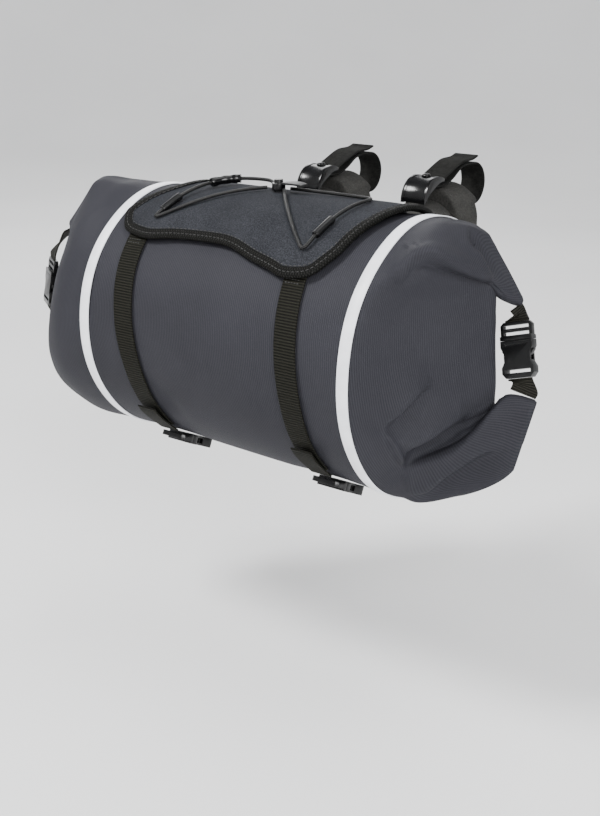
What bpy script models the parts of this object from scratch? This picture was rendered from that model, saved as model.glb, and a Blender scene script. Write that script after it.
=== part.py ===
"""Roll-closed bicycle handlebar bag: a dry-bag tube in a harness that hangs from the handlebar by two straps.

Metres, +Z up. The origin is on the handlebar's axis, midway between the two mounting straps. +X runs along the
bag towards the end that is nearer in the three-quarter view, and -Y is the bag's front.
"""

from math import asin, cos, pi, radians, sin

import bpy
from mathutils import Matrix, Vector

MM = 0.001

# Bag tube
BODY_RADIUS = 104 * MM
RING_X = 138.5 * MM
RIGHT_REACH = 55.5 * MM
LEFT_REACH = 69.5 * MM
CLOTH = 1.2 * MM
SHEET_GAP = 0.6 * MM
ROLL_AIR = 0.4 * MM
STRAP_SQUEEZE = 1.6 * MM
BODY_SAG = 7.7 * MM
SAG_TO_RIGHT = 3.3 * MM

# Handlebar, seen from the bag's axis
BAR_BACK = 180 * MM
BAR_UP = 102 * MM
BAR_RADIUS = 16 * MM

# Webbing and clearances
GAP = 0.3 * MM
WEB_WIDTH = 20 * MM
WEB = 1.5 * MM
BAND_X = 133 * MM
BAND_WIDTH = 10 * MM
BAND = 0.8 * MM

# Harness
FLAP = 2.2 * MM
BINDING_WIDTH = 9 * MM
BINDING = 0.9 * MM
BINDING_CLEAR = 0.6 * MM
FLAP_REAR_ANGLE = 115
PANEL = 2 * MM
PANEL_HALF_WIDTH = 86 * MM
PANEL_TOP_ANGLE = 108
PANEL_LOW_ANGLE = 236
FRONT_STRAP_LOW_ANGLE = -50
BUCKLE_ANGLE = -68

# Mounts on the handlebar
MOUNT_X = 56 * MM
MOUNT_WEB_WIDTH = 24 * MM
MOUNT_WEB = 1.8 * MM
FOAM_WIDTH = 58 * MM
FOAM_LOW = 34 * MM
FRONT_FOAM_TOP = 94 * MM
REAR_FOAM_TOP = 105 * MM
FOAM_JOINT_BACK = 127 * MM
FOAM_REAR_BACK = 160 * MM
FOAM_STEP = 4 * MM
BAR_CLEAR = 1 * MM
CLIP_WIDTH = 23 * MM
CLIP_BACK = 120 * MM
CLIP_UP = FRONT_FOAM_TOP + GAP
CLIP_RADIUS = 20 * MM
CLIP_FRONT_ANGLE = 180
CLIP_REAR_ANGLE = 60
CLIP_THICK = 4.5 * MM
RIVET_RADIUS = 4.2 * MM
RIVET_HEIGHT = 2.2 * MM

# Side-release buckles
BUCKLE_WIDTH = 26 * MM
BUCKLE_THICK = 8 * MM
SOCKET_LENGTH = 28 * MM
PLUG_BASE = 14 * MM
BUCKLE_WALL = 1.5 * MM
BUCKLE_PLAY = 0.4 * MM

# Closure loops at the ends
EAR_ANGLE = 80
EAR_STRAIGHT = 5 * MM
EAR_CLEAR = 1.8 * MM
CLOSURE_OUT = {"left": 20 * MM, "right": -1 * MM}
CLOSURE_TURN = {"left": 0.6, "right": 0.0}
CLOSURE_LEAVE = {"left": 5 * MM, "right": 1 * MM}

# Elastic cord on the flap
CORD = 3 * MM
LOCK_SIZE = 11 * MM
PULL_WIDTH = 11 * MM
PULL_LENGTH = 20 * MM
BARREL_WALL = 1.8 * MM
KEEPER_WALL = 1.2 * MM

BAG_CENTRE = Vector((0, -BAR_BACK, -BAR_UP))

# Angles run round the bag's axis: 0 faces the front, 90 the top, 180 the back.
FRONT_ANGLES = (-90, -83, -76, -70, -63, -56, -50, -43, -36, -28, -20, -10, 0, 11, 22, 29, 36, 41, 46, 53, 60,
                67, 75, 82, 90)
BACK_ANGLES = (75, 60, 42, 20, 0, -20, -42, -60, -75)

# Each row is one generator of an end, from the tube's ring to the rolled closure.
# x is a share of the end's reach past the ring, y and z are shares of the body radius.
# mid lies on the front sheet, back on the back sheet, neck where the sheets meet, edge on the roll's outer edge.
END_COLUMNS = ("angle", "mid", "back", "neck", "edge")
RIGHT_END = (
    (-90, (0.78, -0.08, -1.01), (0.78, -0.08, -1.01), (1.42, -0.03, -0.74), (1.65, 0.00, -0.25)),
    (-76, (0.21, -0.27, -1.07), (0.68, 0.08, -0.92), (1.17, -0.08, -0.64), (1.41, -0.03, -0.23)),
    (-63, (0.21, -0.40, -0.81), (0.60, 0.17, -0.79), (0.87, -0.21, -0.52), (1.20, -0.06, -0.25)),
    (-50, (0.24, -0.42, -0.67), (0.50, 0.27, -0.62), (0.68, -0.19, -0.48), (1.05, 0.00, -0.33)),
    (-36, (0.35, -0.58, -0.48), (0.42, 0.35, -0.44), (0.71, -0.26, -0.38), (1.04, 0.00, -0.27)),
    (-20, (0.30, -0.65, -0.27), (0.39, 0.38, -0.23), (0.69, -0.28, -0.21), (1.04, 0.00, -0.15)),
    (0, (0.30, -0.68, 0.02), (0.39, 0.40, 0.04), (0.68, -0.30, 0.06), (1.02, 0.00, 0.08)),
    (22, (0.30, -0.65, 0.33), (0.39, 0.40, 0.33), (0.68, -0.29, 0.33), (1.00, 0.00, 0.33)),
    (36, (0.31, -0.60, 0.54), (0.39, 0.40, 0.54), (0.64, -0.29, 0.52), (0.98, 0.00, 0.52)),
    (46, (0.53, -0.62, 0.77), (0.42, 0.40, 0.69), (0.80, -0.33, 0.71), (1.00, -0.03, 0.60)),
    (60, (0.53, -0.40, 0.93), (0.46, 0.37, 0.83), (0.82, -0.15, 0.81), (1.09, 0.02, 0.56)),
    (75, (0.39, -0.15, 1.01), (0.42, 0.27, 0.94), (0.69, 0.02, 0.94), (1.18, 0.12, 0.51)),
    (90, (0.35, 0.08, 1.00), (0.35, 0.08, 1.00), (0.71, 0.19, 0.90), (1.23, 0.21, 0.48)),
)
LEFT_END = (
    (-90, (0.56, -0.06, -1.02), (0.56, -0.06, -1.02), (1.05, -0.13, -0.90), (1.38, -0.35, -0.50)),
    (-76, (0.60, -0.30, -1.00), (0.52, 0.19, -0.90), (1.12, -0.30, -0.86), (1.33, -0.42, -0.46)),
    (-63, (0.62, -0.50, -0.92), (0.56, 0.19, -0.76), (1.12, -0.50, -0.76), (1.25, -0.46, -0.46)),
    (-50, (0.66, -0.66, -0.79), (0.58, 0.23, -0.60), (1.10, -0.62, -0.64), (1.18, -0.48, -0.44)),
    (-36, (0.64, -0.82, -0.60), (0.58, 0.25, -0.42), (1.03, -0.72, -0.48), (1.12, -0.50, -0.37)),
    (-20, (0.58, -0.93, -0.36), (0.57, 0.27, -0.21), (0.93, -0.80, -0.28), (1.06, -0.50, -0.22)),
    (0, (0.48, -0.97, -0.02), (0.57, 0.27, 0.02), (0.83, -0.81, 0.00), (1.03, -0.50, 0.02)),
    (22, (0.42, -0.90, 0.37), (0.57, 0.27, 0.29), (0.77, -0.75, 0.31), (1.00, -0.48, 0.29)),
    (36, (0.38, -0.81, 0.58), (0.54, 0.27, 0.50), (0.73, -0.67, 0.52), (1.00, -0.46, 0.49)),
    (46, (0.36, -0.73, 0.70), (0.51, 0.27, 0.63), (0.72, -0.60, 0.67), (1.02, -0.45, 0.60)),
    (60, (0.34, -0.54, 0.88), (0.48, 0.25, 0.82), (0.70, -0.47, 0.87), (1.08, -0.41, 0.64)),
    (75, (0.33, -0.31, 1.01), (0.42, 0.15, 0.96), (0.70, -0.36, 1.00), (1.14, -0.37, 0.66)),
    (90, (0.35, -0.06, 1.03), (0.35, -0.06, 1.03), (0.72, -0.24, 1.04), (1.18, -0.29, 0.65)),
)

# Stations of the closure's roll: share of the strip's width, turn's radius, layers deep, and turn in degrees.
ROLL = (
    (1.00, 1.0, 1.0, 60),
    (1.00, 1.0, 1.0, 120),
    (1.00, 1.0, 1.0, 180),
    (0.42, 0.5, 1.5, 180),
    (0.42, 0.5, 1.5, 270),
    (0.42, 0.5, 1.5, 360),
    (0.85, 0.5, 1.5, 360),
)

# Flap outline: x as a share of the band's place, and the angle. Front edge from left to right.
FLAP_FRONT = ((-0.91, 56), (-0.86, 50), (-0.80, 46), (-0.62, 44), (-0.42, 46), (-0.12, 47), (0.04, 46),
              (0.21, 42), (0.38, 39), (0.47, 37), (0.61, 38), (0.69, 41), (0.78, 51))
FLAP_LEFT = ((-0.91, 56), (-0.86, 66), (-0.81, 73), (-0.76, 81), (-0.74, 92), (-0.74, 103), (-0.74, FLAP_REAR_ANGLE))
FLAP_RIGHT = ((0.78, 51), (0.81, 63), (0.84, 73), (0.86, 83), (0.87, 94), (0.85, 104), (0.82, FLAP_REAR_ANGLE))

# Straps down the front: angle, and x as a share of the band's place.
LEFT_STRAP = ((49, -0.72), (30, -0.70), (10, -0.66), (-15, -0.61), (-35, -0.59), (FRONT_STRAP_LOW_ANGLE, -0.58))
RIGHT_STRAP = ((43, 0.55), (30, 0.57), (10, 0.60), (-15, 0.63), (-35, 0.64), (FRONT_STRAP_LOW_ANGLE, 0.65))

# The elastic cord's route on the flap: x as a share of the band's place, angle, and height in cord widths.
CORD_LOCK = (-0.05, 89)
CORD_LEFT = ((-0.115, 87, 0.6), (-0.30, 75, 0.5), (-0.52, 60, 0.2), (-0.62, 54, 0.3), (-0.60, 59, 0.6),
             (-0.53, 76, 1.0), (-0.44, 88, 1.3), (-0.34, 93, 1.6), (-0.20, 95, 1.6), (-0.115, 92, 0.9))
CORD_RIGHT = ((0.015, 87, 0.4), (0.22, 71, 0.5), (0.48, 53, 0.2), (0.56, 49.5, 0.4), (0.59, 57, 0.7),
              (0.62, 75, 0.6), (0.62, 88, 0.2), (0.55, 94, 0.1), (0.30, 93, 0.3), (0.015, 91.5, 0.4))
# Where a sleeve starts on a route and how far it reaches, counted in the route's points.
KEEPER_SPAN = (3.9, 0.6)
BARREL_SPAN = (5.4, 1.2)


def clear_scene():
    for obj in list(bpy.data.objects):
        bpy.data.objects.remove(obj, do_unlink=True)


def material(name, color, roughness, metallic=0.0):
    made = bpy.data.materials.new(name)
    made.use_nodes = True
    shader = made.node_tree.nodes["Principled BSDF"]
    shader.inputs["Base Color"].default_value = (*color, 1)
    shader.inputs["Roughness"].default_value = roughness
    shader.inputs["Metallic"].default_value = metallic
    return made


def cloth_material(name):
    return material(name, (0.045, 0.046, 0.054), 0.7)


def webbing_material(name):
    return material(name, (0.018, 0.018, 0.015), 0.75)


def plastic_material(name):
    return material(name, (0.008, 0.008, 0.009), 0.25)


def foam_material(name):
    return material(name, (0.06, 0.06, 0.058), 0.9)


def reflective_material(name):
    return material(name, (0.72, 0.73, 0.76), 0.35)


def new_object(name, points, faces, finish):
    mesh = bpy.data.meshes.new(name)
    mesh.from_pydata([tuple(point) for point in points], [], faces)
    mesh.validate()
    mesh.materials.append(finish)
    obj = bpy.data.objects.new(name, mesh)
    obj.location = BAG_CENTRE
    bpy.context.scene.collection.objects.link(obj)
    mesh.shade_smooth()
    mesh.set_sharp_from_angle(angle=radians(35))
    return obj


def solidify(obj, thickness, outward):
    """Gives a sheet its thickness, on the side its faces look to or on the other."""
    wall = obj.modifiers.new("Wall", "SOLIDIFY")
    wall.thickness = thickness
    wall.offset = 1 if outward else -1
    return wall


def grid(rows, closed_rows=False, closed_columns=False):
    """The points and faces of a net of points, given row by row."""
    count, width = len(rows), len(rows[0])
    points = [point for row in rows for point in row]
    faces = []
    for i in range(count if closed_rows else count - 1):
        for j in range(width if closed_columns else width - 1):
            below, right = (i + 1) % count, (j + 1) % width
            faces.append((i * width + j, below * width + j, below * width + right, i * width + right))
    return points, faces


def smooth_between(keys, values, at):
    """A smooth curve through values at rising keys, with tangents from the neighbours on both sides."""
    last = len(keys) - 1
    at = min(max(at, keys[0]), keys[last])
    i = next(k for k in range(last) if at <= keys[k + 1])

    def slope(k):
        low, high = max(k - 1, 0), min(k + 1, last)
        return (values[high] - values[low]) / (keys[high] - keys[low])

    span = keys[i + 1] - keys[i]
    s = (at - keys[i]) / span
    start = values[i] * (2 * s ** 3 - 3 * s ** 2 + 1) + slope(i) * (span * (s ** 3 - 2 * s ** 2 + s))
    end = values[i + 1] * (3 * s ** 2 - 2 * s ** 3) + slope(i + 1) * (span * (s ** 3 - s ** 2))
    return start + end


def on_body(x, angle, lift):
    """A point that far above the tube's surface. The load draws the underside down, more towards the right."""
    sag = (BODY_SAG + SAG_TO_RIGHT * x / RING_X) * min(0.0, sin(radians(angle))) ** 2
    radius = BODY_RADIUS + sag + lift
    return Vector((x, -radius * cos(radians(angle)), radius * sin(radians(angle))))


def outward(angle):
    return Vector((0, -cos(radians(angle)), sin(radians(angle))))


def around(angle):
    return Vector((0, sin(radians(angle)), cos(radians(angle))))


# Bag body


def row_at(table, angle):
    """The generator of an end at an angle, read smoothly between the table's rows."""
    keys = [row[0] for row in table]
    found = {}
    for column, name in enumerate(END_COLUMNS[1:], 1):
        found[name] = smooth_between(keys, [Vector(row[column]) for row in table], angle)
    return found


def end_place(share, side, reach):
    return Vector((side * (RING_X + share.x * reach), share.y * BODY_RADIUS, share.z * BODY_RADIUS))


def end_frame(table, angle, side, reach):
    """Neck, edge and the strip's own directions at an angle: outwards along the strip, and behind it."""
    step = 1.5
    low, high = max(angle - step, -90), min(angle + step, 90)
    row = row_at(table, angle)
    neck, edge = end_place(row["neck"], side, reach), end_place(row["edge"], side, reach)

    def middle(at):
        near = row_at(table, at)
        return (end_place(near["neck"], side, reach) + end_place(near["edge"], side, reach)) / 2

    along = (edge - neck).normalized()
    up = middle(high) - middle(low)
    up = (up - along * up.dot(along)).normalized()
    behind = up.cross(along) * side
    return neck, edge, along, behind, up


def strip_points(table, angle, side, reach, front):
    """One generator of the closure, from the neck round the roll to the hem."""
    half = SHEET_GAP / 2 + CLOTH
    pitch = 2 * half + ROLL_AIR
    neck, edge, along, behind, up = end_frame(table, angle, side, reach)
    width = (edge - neck).length
    start = neck + behind * half
    stations = [(start, 0), (start + along * width / 2, 0), (start + along * width, 0)]
    for share, turn_radius, deep, turn in ROLL:
        radius = turn_radius * pitch
        centre = start + along * (width * share) + behind * (deep * pitch)
        place = centre + along * (radius * sin(radians(turn))) - behind * (radius * cos(radians(turn)))
        stations.append((place, turn))
    made = []
    for place, turn in stations:
        off_strip = along * sin(radians(turn)) - behind * cos(radians(turn))
        if abs(angle) == 90:
            made.append(place + up * (half * angle / 90))
        else:
            made.append(place + off_strip * (half if front else -half))
    return made


def end_generator(table, angle, side, reach, front):
    """One line of the cloth from the ring to the hem, without its point on the ring."""
    ring_angle = angle if front else 180 - angle
    ring = on_body(side * RING_X, ring_angle, 0)
    middle = end_place(row_at(table, angle)["mid" if front else "back"], side, reach)
    strip = strip_points(table, angle, side, reach, front)
    places = [ring - Vector((side * 0.3 * reach, 0, 0)), ring, middle, strip[0], strip[2]]
    keys = [0.0]
    for before, after in zip(places, places[1:]):
        keys.append(keys[-1] + (after - before).length)
    curve = []
    for start, end, shares in ((1, 2, (1 / 3, 2 / 3, 1)), (2, 3, (0.5,))):
        for share in shares:
            curve.append(smooth_between(keys, places, keys[start] + share * (keys[end] - keys[start])))
    return curve + strip


def body_radius_lift(x):
    """The straps press the tube in a little where they cross it."""
    from_strap = abs(abs(x) - 0.62 * BAND_X) / (0.3 * BAND_X)
    return -STRAP_SQUEEZE * max(0.0, 1 - from_strap ** 2)


def body_generator(angle, front):
    ring_angle = angle if front else 180 - angle
    left = end_generator(LEFT_END, angle, -1, LEFT_REACH, front)
    right = end_generator(RIGHT_END, angle, 1, RIGHT_REACH, front)
    tube = []
    for share in (-1, -0.78, -0.6, -0.42, 0, 0.42, 0.6, 0.78, 1):
        x = share * RING_X
        tube.append(on_body(x, ring_angle, body_radius_lift(x)))
    return left[::-1] + tube + right


def build_body():
    lines = [body_generator(angle, True) for angle in FRONT_ANGLES]
    lines += [body_generator(angle, False) for angle in BACK_ANGLES]
    points, faces = grid(lines, closed_rows=True)
    faces = [face[::-1] for face in faces]
    body = new_object("bag_body", points, faces, cloth_material("body_cloth"))
    solidify(body, CLOTH, outward=False)


# Wraps that lie round the tube


def ring_angles():
    return list(FRONT_ANGLES) + [180 - angle for angle in BACK_ANGLES]


def angles_between(start, end):
    """The tube's own corner angles in a range, with its two ends, so that a wrap follows the tube's facets."""
    inside = [angle for angle in ring_angles() if start + 1 < angle < end - 1]
    return [start, *inside, end]


def build_band(name, x):
    rows = []
    for angle in ring_angles():
        rows.append([on_body(x - BAND_WIDTH / 2, angle, GAP), on_body(x + BAND_WIDTH / 2, angle, GAP)])
    points, faces = grid(rows, closed_rows=True)
    band = new_object(name, points, [face[::-1] for face in faces], reflective_material(name))
    solidify(band, BAND, outward=True)


def flap_lift():
    return GAP + WEB + GAP + BINDING + BINDING_CLEAR


def flap_edge(rows, share):
    """A point of an outline at a share of its way: x in metres and the angle."""
    keys = [i / (len(rows) - 1) for i in range(len(rows))]
    found = smooth_between(keys, [Vector(row) for row in rows], share)
    return Vector((found.x * BAND_X, found.y))


def flap_place(s, t):
    """A point of the flap in x and angle, blended between its four edges."""
    rear_left, rear_right = Vector(FLAP_LEFT[-1]), Vector(FLAP_RIGHT[-1])
    front, left, right = flap_edge(FLAP_FRONT, s), flap_edge(FLAP_LEFT, t), flap_edge(FLAP_RIGHT, t)
    rear = Vector(((rear_left.x * (1 - s) + rear_right.x * s) * BAND_X, FLAP_REAR_ANGLE))
    corners = []
    for x, angle in (FLAP_FRONT[0], FLAP_FRONT[-1], rear_left, rear_right):
        corners.append(Vector((x * BAND_X, angle)))
    across = front * (1 - t) + rear * t + left * (1 - s) + right * s
    low = corners[0] * (1 - s) + corners[1] * s
    high = corners[2] * (1 - s) + corners[3] * s
    return across - low * (1 - t) - high * t


FLAP_ACROSS = 16
FLAP_BACK = 9


def build_flap():
    rows = []
    for i in range(FLAP_BACK + 1):
        row = []
        for j in range(FLAP_ACROSS + 1):
            x, angle = flap_place(j / FLAP_ACROSS, i / FLAP_BACK)
            row.append(on_body(x, angle, flap_lift()))
        rows.append(row)
    points, faces = grid(rows)
    flap = new_object("flap_panel", points, [face[::-1] for face in faces], cloth_material("flap_cloth"))
    solidify(flap, FLAP, outward=True)


def flap_outline():
    """The flap's sewn edge from its rear left corner round the front to its rear right corner."""
    places = [flap_place(0, 1 - i / FLAP_BACK) for i in range(FLAP_BACK)]
    places += [flap_place(i / FLAP_ACROSS, 0) for i in range(FLAP_ACROSS + 1)]
    places += [flap_place(1, (i + 1) / FLAP_BACK) for i in range(FLAP_BACK)]
    return places


def build_binding():
    """A tape folded over the flap's edge: a U-shaped section swept along the outline."""
    outline = flap_outline()
    inner, outer = -BINDING_WIDTH, GAP
    low, high = -BINDING_CLEAR, FLAP + BINDING_CLEAR
    section = [(inner, high + BINDING), (outer + BINDING, high + BINDING), (outer + BINDING, low - BINDING),
               (inner, low - BINDING), (inner, low), (outer, low), (outer, high), (inner, high)]
    rows = []
    for i, (x, angle) in enumerate(outline):
        before, after = outline[max(i - 1, 0)], outline[min(i + 1, len(outline) - 1)]
        tangent = (on_body(*after, 0) - on_body(*before, 0)).normalized()
        normal = outward(angle)
        out = tangent.cross(normal).normalized()
        turn = degrees_for(out.dot(around(angle)))
        rows.append([on_body(x + out.x * across, angle + turn * across, flap_lift() + up) for across, up in section])
    points, faces = grid(rows, closed_columns=True)
    last = len(points) - len(section)
    faces.append(tuple(range(len(section))))
    faces.append(tuple(range(last + len(section) - 1, last - 1, -1)))
    new_object("flap_binding", points, [face[::-1] for face in faces], webbing_material("binding_tape"))


def build_back_panel():
    rows = []
    for angle in angles_between(PANEL_TOP_ANGLE, PANEL_LOW_ANGLE):
        rows.append([on_body(share * PANEL_HALF_WIDTH, angle, GAP) for share in (-1, -0.5, 0, 0.5, 1)])
    points, faces = grid(rows)
    panel = new_object("back_panel", points, [face[::-1] for face in faces], cloth_material("panel_cloth"))
    solidify(panel, PANEL, outward=True)


def ribbon(name, centres, sides, thickness, finish):
    """A strip of webbing: its centre line, the half-width vector at each point, and its thickness outwards."""
    rows = [[centre - side, centre + side] for centre, side in zip(centres, sides)]
    points, faces = grid(rows)
    strip = new_object(name, points, faces, finish)
    solidify(strip, thickness, outward=True)
    return strip


def build_front_strap(side_name, table):
    keys = [-row[0] for row in table]
    xs = [row[1] for row in table]
    top, low = table[0][0], table[-1][0]
    centres = []
    for angle in angles_between(low, top):
        centres.append(on_body(smooth_between(keys, xs, -angle) * BAND_X, angle, GAP))
    half = Vector((WEB_WIDTH / 2, 0, 0))
    ribbon(f"strap_{side_name}", centres, [-half] * len(centres), WEB, webbing_material(f"strap_{side_name}"))


def build_lower_strap(side_name, x):
    """The strap's other half, from the buckle under the bag to the back panel's lower edge."""
    panel_edge = PANEL_LOW_ANGLE - 360
    start = panel_edge + degrees_for(GAP)
    centres = []
    for angle in (start, -108, -96, BUCKLE_ANGLE - degrees_for(buckle_length() / 2 + GAP)):
        centres.append(on_body(x, angle, GAP))
    half = Vector((WEB_WIDTH / 2, 0, 0))
    name = f"lower_strap_{side_name}"
    ribbon(name, centres, [-half] * len(centres), WEB, webbing_material(name))


def degrees_for(length):
    """The angle that a length takes up round the tube."""
    return length / BODY_RADIUS * 180 / pi


# Buckles


def buckle_length():
    return SOCKET_LENGTH + PLUG_BASE


def prism(name, outline, thickness, finish):
    """A flat outline with a thickness, its middle on the origin."""
    count = len(outline)
    low = [Vector((x, y, -thickness / 2)) for x, y in outline]
    high = [Vector((x, y, thickness / 2)) for x, y in outline]
    faces = [tuple(range(count - 1, -1, -1)), tuple(range(count, 2 * count))]
    for i in range(count):
        after = (i + 1) % count
        faces.append((i, after, after + count, i + count))
    return new_object(name, low + high, faces, finish)


def cutter(name, size, place):
    """A box that a Boolean takes away."""
    corners = [(x, y) for x, y in ((-1, -1), (1, -1), (1, 1), (-1, 1))]
    outline = [(place[0] + x * size[0] / 2, place[1] + y * size[1] / 2) for x, y in corners]
    box = prism(name, outline, size[2], None)
    box.hide_render = True
    box.display_type = "WIRE"
    return box


def cut(obj, tool, operation="DIFFERENCE"):
    boolean = obj.modifiers.new(tool.name, "BOOLEAN")
    boolean.operation = operation
    boolean.object = tool


def build_buckle(name, centre, length_way, normal):
    """A side-release buckle: a hollow socket and a plug whose arms latch in the socket's side windows."""
    width_way = length_way.cross(normal)
    turn = Matrix((width_way, length_way, normal)).transposed().to_4x4()
    place = Matrix.Translation(BAG_CENTRE + centre) @ turn
    half, shoulder = BUCKLE_WIDTH / 2, BUCKLE_WIDTH / 2 - 2 * MM
    top, low = SOCKET_LENGTH - buckle_length() / 2, -buckle_length() / 2
    socket = prism(f"{name}_socket", [(-shoulder, low), (shoulder, low), (half, low + 4 * MM), (half, top),
                                      (-half, top), (-half, low + 4 * MM)], BUCKLE_THICK,
                   plastic_material(f"{name}_socket"))
    mouth_width = BUCKLE_WIDTH - 4 * BUCKLE_WALL
    mouth = cutter(f"{name}_mouth", (mouth_width, SOCKET_LENGTH - 4 * MM, BUCKLE_THICK - 2 * BUCKLE_WALL),
                   (0, top - (SOCKET_LENGTH - 4 * MM) / 2 + 1 * MM))
    window = cutter(f"{name}_window", (BUCKLE_WIDTH + 2 * MM, 9 * MM, BUCKLE_THICK - 2.2 * BUCKLE_WALL),
                    (0, top - 11 * MM))
    cut(socket, mouth)
    cut(socket, window)
    arm_out = mouth_width / 2 - BUCKLE_PLAY
    latch_out = half + 0.6 * MM
    base_low, base_top = top + GAP, top + PLUG_BASE
    arm = 3.2 * MM
    right_side = [(half, base_low), (half, base_top)]
    outline = [(-half, base_top), (-half, base_low), (-arm_out, base_low), (-arm_out, top - 6.9 * MM),
               (-latch_out, top - 7.3 * MM), (-arm_out, top - 15 * MM), (-arm_out + arm, top - 15 * MM),
               (-arm_out + arm, base_low), (-1.5 * MM, base_low), (-1.5 * MM, top - 14 * MM)]
    outline += [(-x, y) for x, y in outline[:1:-1]] + right_side
    plug = prism(f"{name}_plug", outline, BUCKLE_THICK - 2 * BUCKLE_WALL - 2 * BUCKLE_PLAY,
                 plastic_material(f"{name}_plug"))
    for obj in (socket, mouth, window, plug):
        obj.matrix_world = place


def build_bottom_buckle(side_name, x):
    reach = degrees_for(buckle_length() / 2)
    upper, lower = on_body(x, BUCKLE_ANGLE + reach, GAP), on_body(x, BUCKLE_ANGLE - reach, GAP)
    length_way = (upper - lower).normalized()
    normal = Vector((1, 0, 0)).cross(length_way)
    rise = (on_body(x, BUCKLE_ANGLE, GAP) - (upper + lower) / 2).length
    centre = (upper + lower) / 2 + normal * (rise + BUCKLE_THICK / 2)
    build_buckle(f"buckle_{side_name}", centre, length_way, normal)


def build_strap_tail(side_name, x):
    """The strap's free end, folded back over the strap above the buckle."""
    top = BUCKLE_ANGLE + degrees_for(buckle_length() / 2) + 21
    low = BUCKLE_ANGLE + degrees_for(buckle_length() / 2) + 2
    centres = [on_body(x, low + share * (top - low), 2 * GAP + WEB + share * 3 * MM) for share in (0, 0.5, 1)]
    half = Vector((WEB_WIDTH / 2, 0, 0))
    name = f"strap_tail_{side_name}"
    ribbon(name, centres, [-half] * len(centres), WEB, webbing_material(name))


# Closures at the two ends


def ear_tip(table, angle, side, reach):
    """Where webbing leaves the roll at an ear: just past the roll's outer edge, with the ways along and across."""
    neck, edge, along, behind, up = end_frame(table, angle, side, reach)
    half = SHEET_GAP / 2 + CLOTH
    pitch = 2 * half + ROLL_AIR
    return edge + behind * (half + pitch) + along * (pitch + half + EAR_CLEAR), along, up


def build_closure(side_name, table, side, reach):
    """Webbing from both ears of the roll, and the buckle that joins them into a loop."""
    top, top_along, top_up = ear_tip(table, EAR_ANGLE, side, reach)
    low, low_along, low_up = ear_tip(table, -EAR_ANGLE, side, reach)
    way = ((top + top_along * EAR_STRAIGHT) - (low + low_along * EAR_STRAIGHT)).normalized()
    width_way = Vector((side, CLOSURE_TURN[side_name], 0))
    width_way = (width_way - way * width_way.dot(way)).normalized()
    facing = width_way.cross(way).normalized()
    centre = (top + low) / 2 + Vector((side * CLOSURE_OUT[side_name], 0, 0))
    build_buckle(f"closure_buckle_{side_name}", centre, way, facing)
    half_length = way * (buckle_length() / 2 + GAP)
    ends = (("upper", centre + half_length, top, top_along, top_up),
            ("lower", centre - half_length, low, low_along, low_up))
    for end_name, start, end, along, up in ends:
        wide = up if up.dot(width_way) > 0 else -up
        half = WEB_WIDTH / 2
        leaving = start + (start - centre).normalized() * CLOSURE_LEAVE[side_name]
        centres = [start, leaving, end + along * EAR_STRAIGHT, end]
        sides = [width_way * half, width_way * half, wide * half, wide * half]
        name = f"closure_web_{end_name}_{side_name}"
        ribbon(name, centres, sides, WEB, webbing_material(name))


# Mounts on the handlebar


def side_prism(name, outline, x, width, finish):
    """An outline in y and z, given from the bag's axis, with a width along the bag."""
    obj = prism(name, outline, width, finish)
    turn = Matrix(((0, 0, 1), (1, 0, 0), (0, 1, 0))).to_4x4()
    obj.matrix_world = Matrix.Translation(BAG_CENTRE + Vector((x, 0, 0))) @ turn
    return obj


def arc(centre, radius, start, end, count):
    """Points in y and z on a circle, angles from +y towards +z."""
    points = []
    for i in range(count + 1):
        angle = radians(start + (end - start) * i / count)
        points.append((centre[0] + radius * cos(angle), centre[1] + radius * sin(angle)))
    return points


def arch_cutter(name, x, top):
    """The rounded outline of a foam block, seen from the front, as a long bar."""
    half = FOAM_WIDTH / 2
    shoulder = top - half
    outline = [(-half, FOAM_LOW - 1 * MM), (half, FOAM_LOW - 1 * MM)] + arc((0, shoulder), half, 0, 180, 12)
    bar = prism(name, outline, 2 * BAR_BACK, None)
    turn = Matrix(((1, 0, 0), (0, 0, -1), (0, 1, 0))).to_4x4()
    bar.matrix_world = Matrix.Translation(BAG_CENTRE + Vector((x, BAR_BACK / 2, 0))) @ turn
    bar.hide_render = True
    bar.display_type = "WIRE"
    return bar


def seat_on_panel(high, low, count):
    """Points in y and z down the back panel's outer face, whose flats stay a gap behind it."""
    radius = BODY_RADIUS + GAP + PANEL + GAP
    start, end = asin(high / radius), asin(low / radius)
    clear = radius / cos((start - end) / count / 2)
    points = []
    for i in range(count + 1):
        angle = start + (end - start) * i / count
        points.append((clear * cos(angle), clear * sin(angle)))
    return points


def build_foam(side_name, x):
    """Two foam blocks: the front one seats on the back panel, the rear one takes the handlebar in its groove."""
    front = seat_on_panel(FRONT_FOAM_TOP, FOAM_LOW, 6)
    front += [(FOAM_JOINT_BACK, front[-1][1]), (FOAM_JOINT_BACK, front[0][1])]
    joint = FOAM_JOINT_BACK + GAP
    groove = arc((BAR_BACK, BAR_UP), BAR_RADIUS + BAR_CLEAR, 215, 175, 4)
    rear = [(joint, REAR_FOAM_TOP), (joint, FOAM_LOW), (FOAM_REAR_BACK, FOAM_LOW),
            (FOAM_REAR_BACK, groove[0][1] - FOAM_STEP)]
    rear += groove + [(groove[-1][0], REAR_FOAM_TOP)]
    for part, outline, top in (("front", front, FRONT_FOAM_TOP), ("rear", rear, REAR_FOAM_TOP)):
        name = f"mount_foam_{part}_{side_name}"
        block = side_prism(name, outline, x, FOAM_WIDTH + 4 * MM, foam_material(name))
        cut(block, arch_cutter(f"{name}_arch", x, top), "INTERSECT")


def clip_place(angle, radius):
    return CLIP_BACK + radius * cos(radians(angle)), CLIP_UP + radius * sin(radians(angle))


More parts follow.
